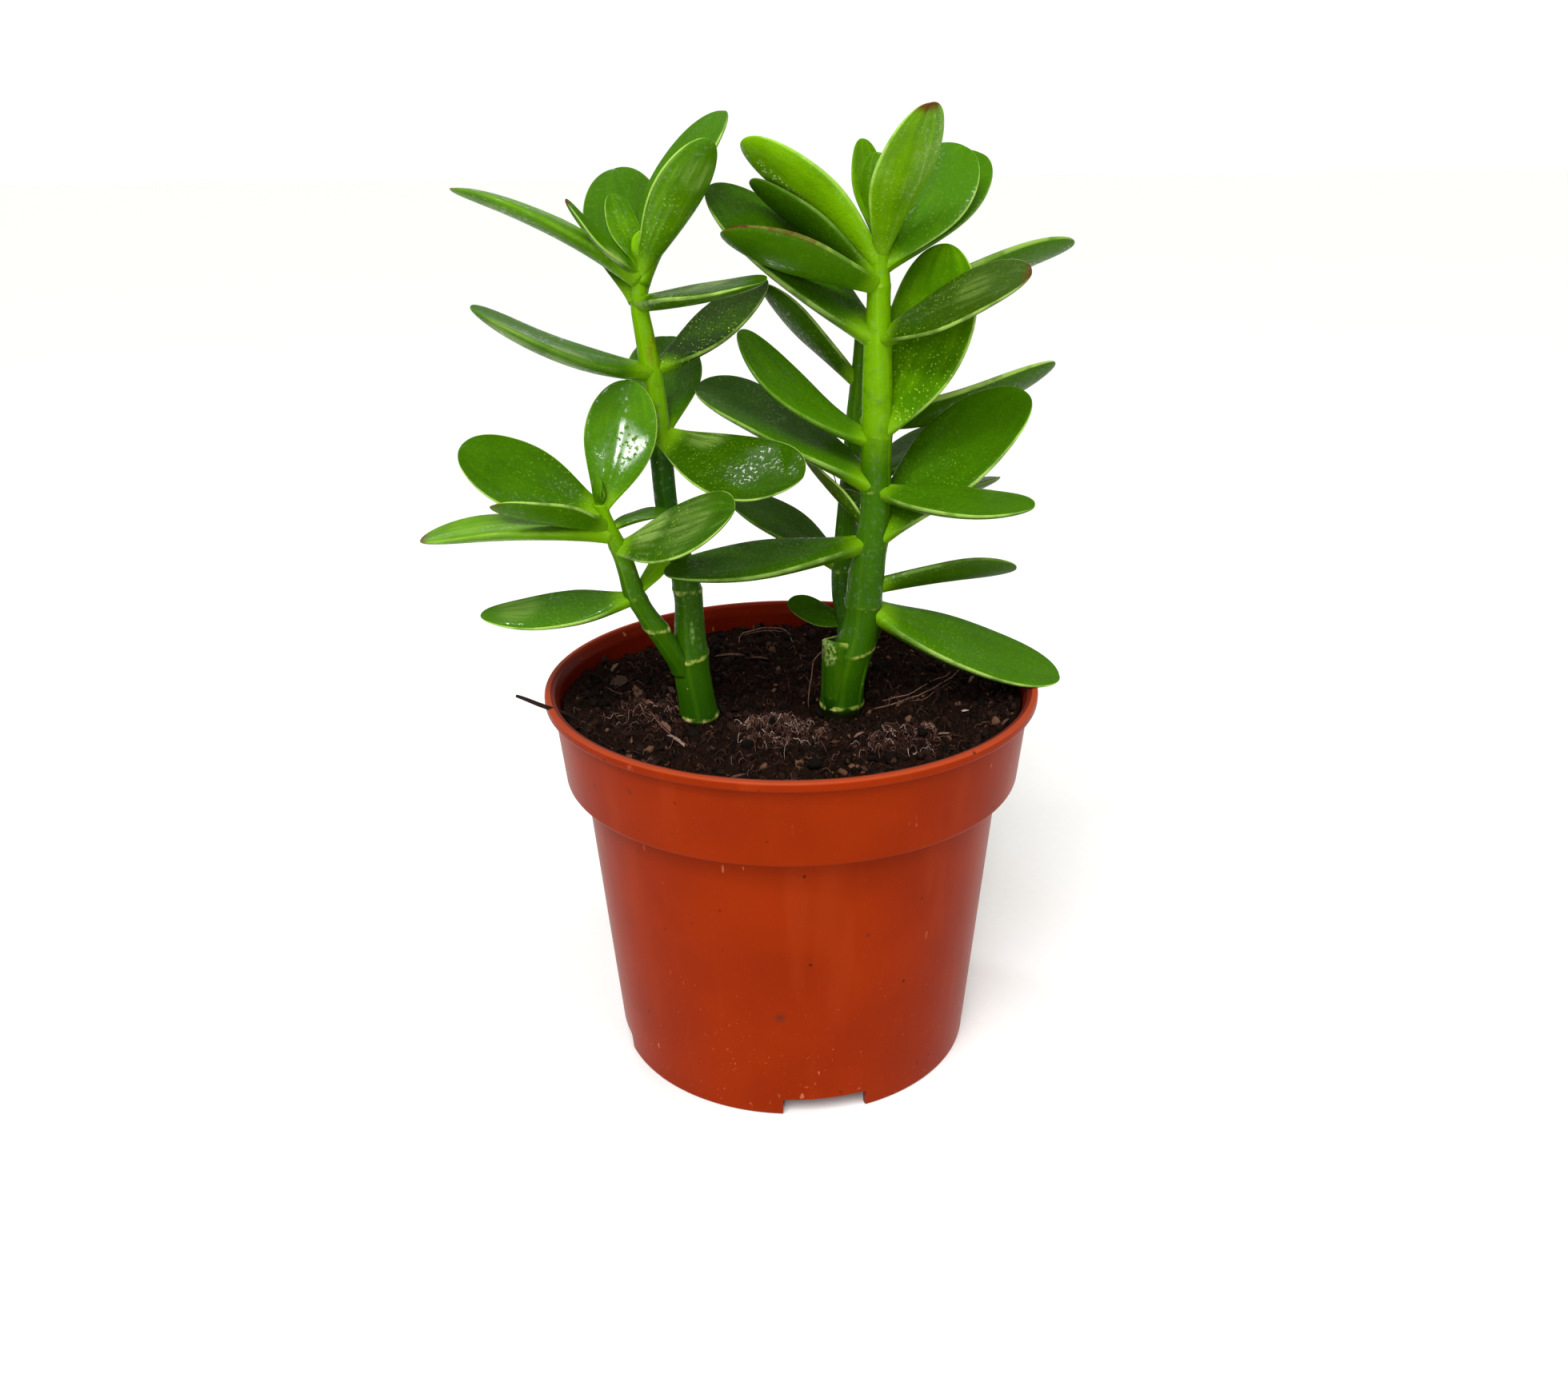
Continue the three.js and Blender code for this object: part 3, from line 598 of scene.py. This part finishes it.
def stem_surface(axis, rings, young, seed):
    """A stem: circles on its axis, whose bends are eased by averaging the axis over six millimetres,
    with shallow flutes up it and a swelling at each ring scar, which is given by its height, its strength
    and how far it sags in front. Its marks are how young the skin is, the nearness of a ring scar, and a
    stripe that depends on the side."""
    random = np.random.default_rng(seed)
    places = np.array(axis, float)
    z = np.linspace(places[0, 2], places[-1, 2], int((places[-1, 2] - places[0, 2]) / 0.5))[:, None]
    near = z + np.linspace(-3, 3, 9)
    x, y, diameter = (np.interp(near, places[:, 2], places[:, k]).mean(1)[:, None] for k in (0, 1, 3))
    turn = np.linspace(0, 2 * np.pi, 65)[:-1]
    phases = random.uniform(0, 2 * np.pi, 12)
    flutes = sum(np.cos(k * turn + phases[k] + 0.01 * z) for k in (2, 3, 5)) / 3
    swelling, scars = 0, 0
    for (ring, strength, sag), phase in zip(rings, random.uniform(0, 2 * np.pi, len(rings))):
        gap = z - ring - sag * np.sin(turn) - 0.2 * np.sin(3 * turn - phase)
        broken = 0.62 + 0.38 * np.sin(2 * turn + 3 * phase) * np.cos(5 * turn + phase)
        line = broken * np.exp(-(gap / 0.55) ** 2)
        swelling = swelling + min(strength, 0.8) * (0.5 * line + 0.45 * np.exp(-(gap / 2.4) ** 2))
        scars = scars + strength * line
    radius = diameter / 2 * (1 + 0.02 * flutes) + RING_SWELLING * swelling
    stripe = sum(np.cos(k * turn + phases[k] + 0.02 * z * (k - 4)) for k in (5, 8, 11)) / 3
    age = np.interp(z, *zip(*young)) + 0 * turn
    grids = np.broadcast_arrays(x + radius * np.cos(turn), y + radius * np.sin(turn), z, age, scars, stripe)
    return np.stack(grids, -1)


def stub_surface(foot, top, radii, depth):
    """The cut end of a side shoot: flattened circles from its foot to its top, a rim, and a dark dried
    hole that goes back down by the depth. The hole has a young mark below zero."""
    foot, top = np.array(foot, float), np.array(top, float)
    turn = np.linspace(0, 2 * np.pi, 33)[:-1]
    side_rows = 14
    share = np.concatenate([np.linspace(0, 1, side_rows), [1.02, 1, 1 - depth / np.linalg.norm(top - foot)]])
    radius = np.concatenate([np.linspace(*radii, side_rows), radii[1] * np.array([0.85, 0.66, 0.5])])
    row = np.arange(len(share))
    centre = foot + (top - foot) * share[:, None]
    uneven = 1 + 0.08 * np.sin(3 * turn + 1) + 0.04 * np.sin(5 * turn)
    circle = np.stack([np.cos(turn), 0.75 * np.sin(turn), 0.12 * np.sin(2 * turn)], -1) * uneven[:, None]
    points = centre[:, None] + circle * radius[:, None, None]
    young = np.interp(row, [0, 1.5, 3, side_rows, side_rows + 1], [-0.5, -0.4, 0.25, 0.25, -1])
    young = young[:, None] + 0 * turn
    scar = np.where(np.abs(row - side_rows) < 2, 0.8, 0)[:, None] * (0.6 + 0.5 * np.sin(2 * turn + 2.6))
    return np.concatenate([points, np.stack([young, scar, np.cos(4 * turn) + 0 * young], -1)], -1)


def stem_skin():
    """Waxy green skin, deeper at the foot and bright yellow-green at the top, with lighter stripes up it,
    pale ring scars, dry tan ones at the foot, a painted highlight streak down the left trunk, and fine
    lengthwise wrinkles."""
    made = Finish("jade_stem", Subsurface_Weight=0.08, Subsurface_Scale=0.002, Specular_IOR_Level=0.04,
                  Subsurface_Radius=(0.5, 1, 0.1), Coat_Roughness=0.15)
    young, scar, stripe = made.mark("young"), made.mark("scar"), made.mark("stripe")
    colour = made.blend(made.smooth(young, 0, 0.5), srgb(22, 60, 1), srgb(50, 92, 1))
    colour = made.blend(made.smooth(young, 0.5, 1), colour, srgb(98, 146, 0))
    colour = made.blend(made.smooth(stripe, 0.1, 0.9) * made.smooth(young, 0.2, 1, 0.06, 0.3), colour,
                        srgb(126, 170, 16))
    mottle = made.noise(2.4, 4)
    colour = made.blend(made.smooth(mottle, 0.5, 0.75, 0, 0.35), colour, srgb(34, 56, 6))
    flecks = made.smooth(made.cells(2.6), 0.04, 0.1, 1, 0) * made.smooth(young, 0.2, 0.6, 1, 0)
    colour = made.blend(flecks * 0.6, colour, srgb(150, 164, 90))
    scar = scar * made.smooth(made.noise(1.3, 3), 0.34, 0.6, 0.45, 1.25)
    colour = made.blend(made.smooth(scar, 0.15, 0.8, 0, 0.7), colour, srgb(150, 166, 70))
    colour = made.blend(made.smooth(scar, 0.85, 1.3, 0, 0.9), colour, srgb(206, 190, 136))
    # Painted highlight: a narrow whitish streak down the front of the left trunk.
    painted_highlight_streak = made.smooth(made.near((-23.2, -10.6, 112), 0.8, 16), 0.1, 0.5)
    painted_highlight_streak = painted_highlight_streak * made.smooth(made.noise(0.8, 3), 0.42, 0.56, 0.25, 1)
    colour = made.blend(painted_highlight_streak * 0.35, colour, srgb(150, 196, 96))
    dry = made.smooth(made.near((8, -7, 105), 5), 0.1, 0.5) * made.smooth(made.noise(0.9, 3), 0.42, 0.56)
    colour = made.blend(dry * 0.7, colour, srgb(150, 170, 90))
    colour = made.blend(made.smooth(young, -0.9, 0, 1, 0), colour, srgb(18, 14, 6))
    wrinkles = made.noise(0.7, 3, made.stretched(1, 1, 0.25))
    flush = made.near((-29, -7, 177), 5) * made.smooth(mottle, 0.4, 0.6)
    colour = made.blend(flush * 0.5, colour, srgb(120, 40, 6))
    gloss = made.smooth(made.noise(1.2, 3), 0.54, 0.64, 0.03, 0.5)
    return made.done(colour, 0.32 + 0.2 * mottle, wrinkles + 0.5 * made.noise(0.3, 2), 0.12, gloss)


STEM_MARKS = ("young", "scar", "stripe")
stem_finish = stem_skin()
# On the left tall stem the young mark drops to 0.1 from 142 to 153 mm: painted shade where that stretch lies
# in shadow.
piece("left_tall_stem", [stem_surface(
    LEFT_TALL_AXIS, [(90.5, 1.5, 0.3), (106, 1.3, 1.2), (121.3, 1.3, 0.3), (157, 0.5, 0.4), (172, 0.4, 0)],
    [(89.4, -0.8), (91.2, 0.12), (100, 0.25), (122, 0.4), (142, 0.1), (153, 0.1), (156, 0.85), (190, 1)],
    11)],
    stem_finish, "left_plant_tall_stem", STEM_MARKS)
piece("left_low_stem", [stem_surface(
    LEFT_LOW_AXIS, [(114, 1.5, 0.6), (122, 0.4, 0), (134, 0.4, 0)], [(101, 0.25), (125, 0.5), (145, 1)], 12)],
    stem_finish, "left_plant_low_stem", STEM_MARKS)
piece("right_main_stem", [
    stem_surface(RIGHT_MAIN_AXIS, [(91, 1.5, 0.3), (105.5, 1.1, 1.3), (116, 0.4, 0), (124, 0.3, 0),
                                   (131, 0.5, 0.4), (144, 0.5, 0), (157, 0.5, 0.3), (178, 0.5, 0),
                                   (190, 0.5, 0)],
                 [(89.4, -0.8), (91.2, 0.12), (100, 0.3), (130, 0.4), (147, 0.5), (160, 0.9), (180, 1)], 13),
    stub_surface((11.8, -4.2, 89), (11.5, -4.8, 107.5), (4.7, 4), 2.5),
    stem_surface([(16, -6, 88, 1.1), (16.6, -6, 94, 1), (17.9, -5.7, 101, 1), (19.3, -5, 107.5, 0.8)], [],
                 [(89.4, -0.8), (91, 0.2), (107, 0.4)], 17),
    stem_surface([(15, 0, 96, 6), (21, 1, 111, 4.5)], [(110, 0.8, 0)], [(96, 0.2), (111, 0.25)], 15)],
    stem_finish, "right_plant_main_stem", STEM_MARKS)
piece("right_rear_stem", [stem_surface(
    RIGHT_REAR_AXIS, [(121, 0.6, 0), (140, 0.5, 0), (157, 0.4, 0)], [(97, 0.1), (130, 0.4), (178, 0.7)], 16)],
    stem_finish, "right_plant_rear_stem", STEM_MARKS)


# Dry whitish threads hang on the right plant's rear stem, and one beside its cut side shoot.
piece("dry_threads", [
    root_surface([(8.6, -7.5, 106.5), (5.8, -6.5, 104), (5.1, -6, 100.3), (4.5, -6, 96.7), (4.2, -6.3, 90)],
                 0.16, 0.15, 0.75, level_ground),
    root_surface([(10.2, 7, 145.5), (11.5, 7, 141.5), (14.3, 7, 137.6), (15.4, 7, 134.6), (17, 7, 132)],
                 0.16, 0.2, 0.95, level_ground),
    root_surface([(12.3, 6.8, 141.4), (14.5, 6.5, 141.6), (17.4, 6, 140.2)], 0.14, 0.15, 0.9, level_ground),
    root_surface([(11.6, 7, 139.8), (14.6, 6.6, 139), (16.2, 6.4, 138.1)], 0.14, 0.2, 0.95, level_ground),
    root_surface([(10.8, 7, 150), (11.8, 7, 146), (13.2, 7, 142.5)], 0.13, 0.15, 0.8, level_ground)],
    coir, "right_plant_rear_stem", ("tint",))


# ---- Leaves --------------------------------------------------------------------------------------
# Fleshy leaves in opposite pairs, grown from the stems: flat waxy paddles with a thin pale margin,
# partly a painted highlight along the edge, the young ones bright, the old ones dark, some with
# red-brown tips or edges, and painted sheen and glints on a few.

LEAF_FOOT_SHARE = 0.24
LEAF_WIDEST = 0.6
LEAF_THICKNESS_SHARE = 0.095
LEAF_LEAST_THICKNESS = 1.6
LEAF_TOP_SHARE = 0.4
LEAF_CUP = 0.12

# Each leaf: height on its stem, heading (0 to +X, 90 to the back), rise of its foot above level, curl
# that the rise gains up to the tip, roll about the midrib, in degrees; length and width; then how old
# it looks, and how red its tip, how red an edge (negative for the other edge) and how pale its bloom,
# whitish wax that partly stands in as painted sheen; and where it is widest, if that isn't LEAF_WIDEST.
LEFT_TALL_LEAVES = [
    (158, -34, -24, 33, 28, 39.9, 20.5, 0.88, 0.1, 0, 0.3, 0.64),
    (157, 89, 34, 0, 0, 33, 18, 0.45, 0, 0, 0.1),
    (172, -155, 10, 25, -8, 43, 20, 0.6, 0.2, 0, 0),
    (172, 35, 18, 24, 5, 36, 16, 1, 0, 0, 1),
    (187, -42, 9, 3, 10, 38, 15, 0.85, 0, 0, 0.55),
    (187, 106, 55, -10, -20, 35, 18, 0.7, 0, 0.2, 0.1),
    (192, 180, 38.5, -26, 3, 44.5, 16.5, 0.32, 0.5, 0, 0, 0.66),
    (191, 38, 70, -28, 0, 42.5, 18, 0.55, 0, 0, 0.3),
    (193, -140, 33, 18, -34, 24.5, 7.5, 0.5, 0.7, -0.5, 0.3),
    (193, -33, 60, -10, -35, 34, 11.5, 0.35, 0, 0, 0.5),
    (194, 139, 57, 10, -8, 17.5, 8.2, 0.35, 0, 0, 0.35),
    (194, -70, 70, 0, 0, 9, 5, 0.1, 0, 0, 0)]
LEFT_LOW_LEAVES = [
    (122, -178, -17, 22, -16, 36, 14, 0.55, 0.1, 0, 0.3, 0.42),
    (122, 23, 45, 6, 20, 13.8, 6, 0.2, 0, 0, 0),
    (137.8, -172, 11.5, -22, 0, 42.5, 17.5, 0.25, 0.6, 0, 0.1),
    (134, -40, 18, 10, 40, 38, 18, 0.8, 0, 0, 0.5),
    (140.2, -132, 17, 4, 22, 32.5, 12, 0.5, 0.4, 0, 0.34),
    (139, 30, 18, -20, 0, 15, 8, 0.7, 0, 0, 0),
    (143, 178, 20, 12, -38, 34, 18, 0.72, 0, 0, 0.3),
    (144, 50, 58, 22, 40, 29, 16, 0.42, 0, 0, 0.2),
    (144.5, -150, 78, 20, 0, 7, 5, 0.4, 0, 0, 0),
    (144.5, 20, 70, 30, 0, 6, 4.5, 0.4, 0, 0, 0)]
RIGHT_MAIN_LEAVES = [
    (116, 4, -31, 17, 16, 53, 22, 0.6, 0.1, 0, 0.3),
    (120.1, 15, 9, -15, -36, 38.8, 12.6, 0.85, 0, 0, 0.1),
    (131.5, -163, -7, 7, -8, 50, 17.4, 0.7, 0, 0, 0.2),
    (131, 12, 48, -12, 24, 50, 24, 0.65, 0, 0, 0.35),
    (134, 155, 42, 0, 35, 24, 9, 1.1, 0, 0, 0.4),
    (144, -39, -4, 14, 10, 41.6, 15.5, 0.6, 0, 0, 0.3),
    (144.5, 169, 34, -12, -7, 47.7, 27, 0.6, 0, 0, 0.2, 0.74),
    (155.3, -175, 20, 38, -24, 41, 16, 0.42, 0, -0.3, 0.1, 0.7),
    (157, 9, 50, 40, 36, 45, 24.5, 0.35, 0, 0, 1),
    (178, -36, 27, -6, 34, 40.5, 18, 1.02, 0.5, 0.3, 0.45),
    (178, 162, 38, 3, -16, 51, 24, 0.75, 0, 0, 0.2),
    (190, -152, 16, 7, 20, 40, 18, 0.45, 0.3, 0.6, 0.2),
    (191, 162, 36, -4, 30, 36, 17, 0.7, 0, 0, 0.1),
    (195, 176, 47, -15, 37, 39, 17, 0.12, 0, 0, 0.2),
    (193.5, 41, 33, 6, 24, 39, 18, 0.55, 0, 0, 0.1),
    (197, -66, 57, -3, 12, 37, 16, 0.22, 0.7, 0, 0.5),
    (194, 28, 47, 2, 35, 32.5, 19, 0.45, 0, 0, 0.25),
    (199, 133, 69, 12, 0, 22, 10, 0.3, 0, 0, 0.1),
    (199, -110, 78, 5, 0, 19, 8, 0.3, 0, 0, 0.1)]
RIGHT_REAR_LEAVES = [
    (108, 165, 10, 18, -22, 16, 9, 0.8, 0, 0, 0.1),
    (121, 146, 26, -6, 0, 38, 17, 0.9, 0, 0, 0.1),
    (133, 22, 6, 5, -12, 42, 17, 0.9, 0, 0, 0.1),
    (140, 33, 22, 0, -10, 36, 18, 0.9, 0, 0, 0.1),
    (158, 18, -6, 32, -32, 53.5, 19, 0.75, 0, 0, 0.3),
    (161, 30, 8, 5, -20, 24, 12, 0.9, 0, 0, 0.1),
    (166, 172, 44, 0, 36, 32, 11.5, 0.8, 0, 0, 0.3),
    (177, 11, 29.5, -18, -23, 54.5, 21, 0.6, 0, 0, 0.2)]


def leaf_surface(axis, leaf, seed):
    """A leaf from its stem's axis. Its midrib is an arc whose slope goes from rise to rise + curl. Round
    it lie ellipses, wide as a raised quarter sine up to the widest place and then as a quarter ellipse,
    thinning to the tip, cupped along the top, with a groove by the foot and slow waves along the margins."""
    random = np.random.default_rng(seed)
    z, heading, rise, curl, roll, length, width, age, tip, edge, bloom, widest = (*leaf, LEAF_WIDEST)[:12]
    places = np.array(axis, float)
    root = np.array([*(np.interp(z, places[:, 2], places[:, k]) for k in (0, 1)), z])
    heading, rise, roll = np.radians([heading, rise, roll])
    curl = np.radians(curl) or 1e-6
    t = np.sin(np.linspace(0, np.pi / 2, 73)[:-1])[:, None]
    slope = rise + curl * t
    out = length / curl * (np.sin(slope) - np.sin(rise))
    up = length / curl * (np.cos(rise) - np.cos(slope))
    outward = np.array([np.cos(heading), np.sin(heading), 0])
    level = np.array([-np.sin(heading), np.cos(heading), 0])
    upward = np.array([0, 0, 1])
    normal = (np.cos(slope) * upward - np.sin(slope) * outward)[:, None]
    side = level * np.cos(roll) + normal * np.sin(roll)
    top = normal * np.cos(roll) - level * np.sin(roll)
    turn = np.linspace(0, 2 * np.pi, 57)[:-1]
    across, lift = np.cos(turn), np.sin(turn)
    swell = LEAF_FOOT_SHARE + (1 - LEAF_FOOT_SHARE) * np.sin(
        np.pi / 2 * np.minimum(t / widest, 1) ** 0.9) ** 1.5
    half = width / 2 * np.where(t < widest, swell, np.sqrt(
        np.maximum(0, 1 - (np.maximum(t - widest, 0) / (1 - widest)) ** 2)))
    thickness = max(LEAF_LEAST_THICKNESS, LEAF_THICKNESS_SHARE * length)
    full = thickness * np.sqrt(1 - t ** 2.5) * np.where(lift > 0, LEAF_TOP_SHARE, 1 - LEAF_TOP_SHARE)
    phase = random.uniform(0, 2 * np.pi, 4)[0]
    wave = 0.35 * across ** 2 * np.sin(7 * t + phase + 1.5 * (across > 0)) * np.sin(np.pi * t)
    groove = -0.22 * (lift > 0) * np.exp(-(across / 0.16) ** 2) * (1 - t) ** 1.5
    raised = lift * full + LEAF_CUP * half * across ** 2 + wave + groove
    points = (root + out[:, None] * outward + up[:, None] * upward
              + side * (across * half)[..., None] + top * raised[..., None])
    blush = tip * np.clip((t - 0.92) / 0.07, 0, 1) + abs(edge) * np.clip(
        (np.sign(edge) * across - 0.86) / 0.14, 0, 1) * np.clip((t - 0.3) / 0.3, 0, 1)
    marks = [t, across, lift, age, blush, bloom, random.random()]
    grids = np.broadcast_arrays(*marks, points[..., 0])[:-1]
    return np.concatenate([points, np.stack(grids, -1)], -1)


# Painted sheen on single leaves, whitish patches standing in for reflected light: the middle of a patch, its
# radius in millimetres and how strong it is.
PAINTED_SHEEN_PATCHES = [
    ((-22, -30, 144), 11, 0.16), ((-31, -20.5, 140.5), 8, 0.42), ((29.8, -14.5, 216), 7, 0.15),
    ((-18, -14, 213), 6, 0.22), ((-57, -25.7, 185), 9, 0.3), ((-46, -21.7, 179), 8, 0.3),
    ((39, -17, 191), 7, 0.15), ((-17, -17.5, 193), 8, 0.3), ((-36, -14, 196), 6, 0.5),
    ((-18.5, -7.5, 158.6), 7, 0.32), ((-63, -13.3, 119.5), 8, 0.24)]


def leaf_skin():
    """Thick waxy skin: green by age, lighter by the foot, with faint lengthwise streaks, a thin pale
    margin that is partly a painted highlight where the edge catches the light, red-brown where it
    blushed, tiny pale dots, whitish wax streaks that partly stand in as painted sheen, patches of
    painted sheen on single leaves, painted glints under the youngest leaves, and a fine pebbled gloss
    that breaks up highlights."""
    made = Finish("jade_leaf", Subsurface_Weight=0.1, Subsurface_Scale=0.002, Specular_IOR_Level=0.04,
                  Subsurface_Radius=(0.5, 1, 0.1), Coat_Roughness=0.12)
    along, across, lift = made.mark("along"), made.mark("across"), made.mark("lift")
    age, blush, bloom, chance = (made.mark(name) for name in ("age", "blush", "bloom", "chance"))
    lengthwise = made.add("CombineXYZ", {}, {"X": 1.6 * along, "Y": 4 * across, "Z": 40 * chance})
    streaks = made.add("TexNoise", {}, {"Vector": lengthwise, "Scale": 1.0, "Detail": 3}, "Fac")
    tone = age + 0.3 * (made.noise(9, 3) - 0.5) + 0.25 * (streaks - 0.5)
    colour = made.blend(made.smooth(tone, 0, 0.45), srgb(122, 178, 0), srgb(58, 104, 0))
    colour = made.blend(made.smooth(tone, 0.45, 1), colour, srgb(38, 70, 0))
    olive = made.smooth(age, 0.95, 1.25, 0, 0.9) * made.smooth(along, 0.25, 0.7, 0.1, 1)
    colour = made.blend(olive, colour, srgb(78, 84, 18))
    under = made.smooth(lift, -0.5, 0.1, 1, 0)
    colour = made.blend(under * 0.2, colour, srgb(62, 92, 8))
    foot = made.smooth(along, 0.06, 0.2, 0.65, 0)
    colour = made.blend(foot, colour, srgb(116, 164, 10))
    fine = made.noise(0.7, 4)
    colour = made.blend(made.smooth(fine, 0.5, 0.8, 0, 0.2), colour, srgb(100, 144, 20))
    thinner = made.add("CombineXYZ", {}, {"X": 3 * along, "Y": 7 * across, "Z": 40 * chance})
    scratches = made.add("TexNoise", {}, {"Vector": thinner, "Scale": 1.0, "Detail": 3}, "Fac")
    # Whitish streaks on leaves with bloom: partly wax, partly painted sheen.
    pale = made.smooth(scratches, 0.46, 0.66) * made.smooth(made.noise(6), 0.4, 0.6)
    pale = pale * made.smooth(bloom, 0.35, 0.7) * made.smooth(bloom, 0.8, 0.95, 1, 0)
    colour = made.blend(pale * 0.22, colour, srgb(170, 196, 120))
    # Painted sheen: a whitish patch at each listed place.
    for place, radius, share in PAINTED_SHEEN_PATCHES:
        patch = made.smooth(made.near(place, radius), 0, 0.7) * made.smooth(scratches, 0.32, 0.58, 0.2, 1)
        colour = made.blend(patch * share, colour, srgb(158, 188, 92))
    # Painted glints: near-white specks along the underside of the youngest leaves.
    painted_glints = made.smooth(made.cells(0.8), 0.2, 0.36, 1, 0) * made.smooth(abs(across + 0.2), 0.12, 0.3, 1, 0)
    painted_glints = painted_glints * made.smooth(lift, -0.6, -0.3, 1, 0) * made.smooth(age, 0.13, 0.16, 1, 0)
    painted_glints = painted_glints * made.smooth(along, 0.15, 0.4)
    colour = made.blend(painted_glints * 0.9, colour, srgb(226, 240, 190))
    dots = made.smooth(made.cells(0.9), 0.16, 0.3, 1, 0) * made.smooth(made.noise(3), 0.4, 0.6, 0.3, 1)
    dots = dots * made.smooth(bloom, 0.1, 1, 0.15, 0.9) * made.smooth(along, 0.5, 0.75, 1, 0.2)
    colour = made.blend(dots, colour, srgb(150, 190, 50))
    flush = blush + 0.5 * (made.noise(2, 3) - 0.5) * made.smooth(blush, 0, 0.3)
    flushed = made.smooth(flush, 0.1, 0.8)
    colour = made.blend(flushed, colour, srgb(84, 22, 10))
    # A pale margin line, partly the leaf's own and partly a painted highlight where the edge catches the
    # light.
    margin = made.smooth(abs(across), 0.95, 0.985) * made.smooth(along, 0.1, 0.3)
    margin = margin * made.smooth(made.noise(6), 0.35, 0.55, 0.4, 1) * (1 - flushed)
    colour = made.blend(margin * made.smooth(bloom, 0, 0.35, 0.08, 0.65), colour, srgb(170, 202, 98))
    bump = 0.7 * made.noise(0.4, 2) + made.noise(1.4, 3) + 1.5 * made.noise(5, 2)
    sparkle = made.smooth(made.noise(0.8, 3), 0.56, 0.64, 0.04, 0.8) * made.smooth(age, 0.75, 0.9, 1, 0.35)
    wet = made.smooth(made.near((-36.3, -14, 157.5), 7), 0, 0.4) * made.smooth(made.noise(1.1, 3), 0.38, 0.5)
    gloss = sparkle * made.smooth(made.noise(8), 0.4, 0.6, 0.3, 1) + wet
    return made.done(colour, 0.32 + 0.16 * fine, bump, 0.13, gloss)


LEAF_MARKS = ("along", "across", "lift", "age", "blush", "bloom", "chance")
leaf_finish = leaf_skin()
for name, axis, leaves, slot, node, first_seed in [
        ("left_tall_leaves", LEFT_TALL_AXIS, LEFT_TALL_LEAVES, "left_plant_green",
         "left_plant_tall_stem", 100),
        ("left_low_leaves", LEFT_LOW_AXIS, LEFT_LOW_LEAVES, "left_plant_green", "left_plant_low_stem", 200),
        ("right_main_leaves", RIGHT_MAIN_AXIS, RIGHT_MAIN_LEAVES, "right_plant_green",
         "right_plant_main_stem", 300),
        ("right_rear_leaves", RIGHT_REAR_AXIS, RIGHT_REAR_LEAVES, "right_plant_green",
         "right_plant_rear_stem", 400)]:
    surfaces = [leaf_surface(axis, leaf, first_seed + number) for number, leaf in enumerate(leaves)]
    piece(name, surfaces, leaf_finish, node, LEAF_MARKS)


# ---- Stage, light and camera ---------------------------------------------------------------------
# A plain pale floor under an even white sky, two broad soft lights high in front, small ones whose
# reflections show on the wax, and the camera where the photograph was taken from.

FLOOR_SIZE = 8
CAMERA_PLACE = (0.00571, -0.34006, 0.23048)
CAMERA_PITCH = 22.01
CAMERA_ROLL = -0.53
LENS = 34.17

half = FLOOR_SIZE / 2
floor_mesh = bpy.data.meshes.new("floor")
floor_mesh.from_pydata([(-half, -half, 0), (half, -half, 0), (half, half, 0), (-half, half, 0)], [],
                       [(0, 1, 2, 3)])
floor = bpy.data.objects.new("floor", floor_mesh)
bpy.context.collection.objects.link(floor)
floor_finish = Finish("pale_floor")
floor_grain = floor_finish.noise(3, 2)
floor_tint = floor_finish.blend(floor_grain, (0.86, 0.86, 0.86, 1), (0.9, 0.9, 0.9, 1))
floor_mesh.materials.append(floor_finish.done(floor_tint, 0.6 + 0.1 * floor_grain, floor_grain, 0.02))

world = bpy.data.worlds.new("pale_sky")
world.use_nodes = True
sky = Nodes(world.node_tree)
direction = sky.add("TexCoord", {}, {})
level = sky.add("SeparateXYZ", {}, {"Vector": direction}, "Z")
strength = sky.smooth(level, 0.05, 0.27, 1.05, 0.33)
tint = sky.blend(sky.smooth(level, 0.1, 0.3), (1, 1, 1, 1), (1, 0.98, 0.86, 1))
sky.tree.links.new(strength.socket, world.node_tree.nodes["Background"].inputs["Strength"])
sky.tree.links.new(tint.socket, world.node_tree.nodes["Background"].inputs["Color"])
bpy.context.scene.world = world


def lamp(kind, name, place, energy, **settings):
    """A light of a kind at a place in metres, aimed at the middle of the plant."""
    light = bpy.data.lights.new(name, kind)
    light.energy = energy
    for setting, value in settings.items():
        setattr(light, setting, value)
    made = bpy.data.objects.new(name, light)
    aim = Vector((0, 0, 0.12)) - Vector(place)
    made.matrix_world = Matrix.Translation(place) @ aim.to_track_quat("-Z", "Y").to_matrix().to_4x4()
    bpy.context.collection.objects.link(made)


lamp("SUN", "key_light", (-0.18, -0.6, 0.85), 2.35, angle=np.radians(30))
lamp("SUN", "fill_light", (0.5, -0.3, 0.9), 1.2, angle=np.radians(60))
lamp("AREA", "window_light", (-0.3, -0.4, 0.7), 1.3, size=0.08)
lamp("AREA", "front_light", (-0.07, -0.76, 0.43), 1.3, shape="RECTANGLE", size=0.07, size_y=0.18)
lamp("AREA", "top_light", (-0.2, 0.3, 0.75), 0.8, size=0.07)

camera_data = bpy.data.cameras.new("camera")
camera_data.lens = LENS
camera = bpy.data.objects.new("camera", camera_data)
tilt = Matrix.Rotation(np.radians(90 - CAMERA_PITCH), 4, "X")
roll = Matrix.Rotation(np.radians(CAMERA_ROLL), 4, "Z")
camera.matrix_world = Matrix.Translation(CAMERA_PLACE) @ tilt @ roll
bpy.context.collection.objects.link(camera)
bpy.context.scene.camera = camera
bpy.context.scene.view_settings.view_transform = "Standard"
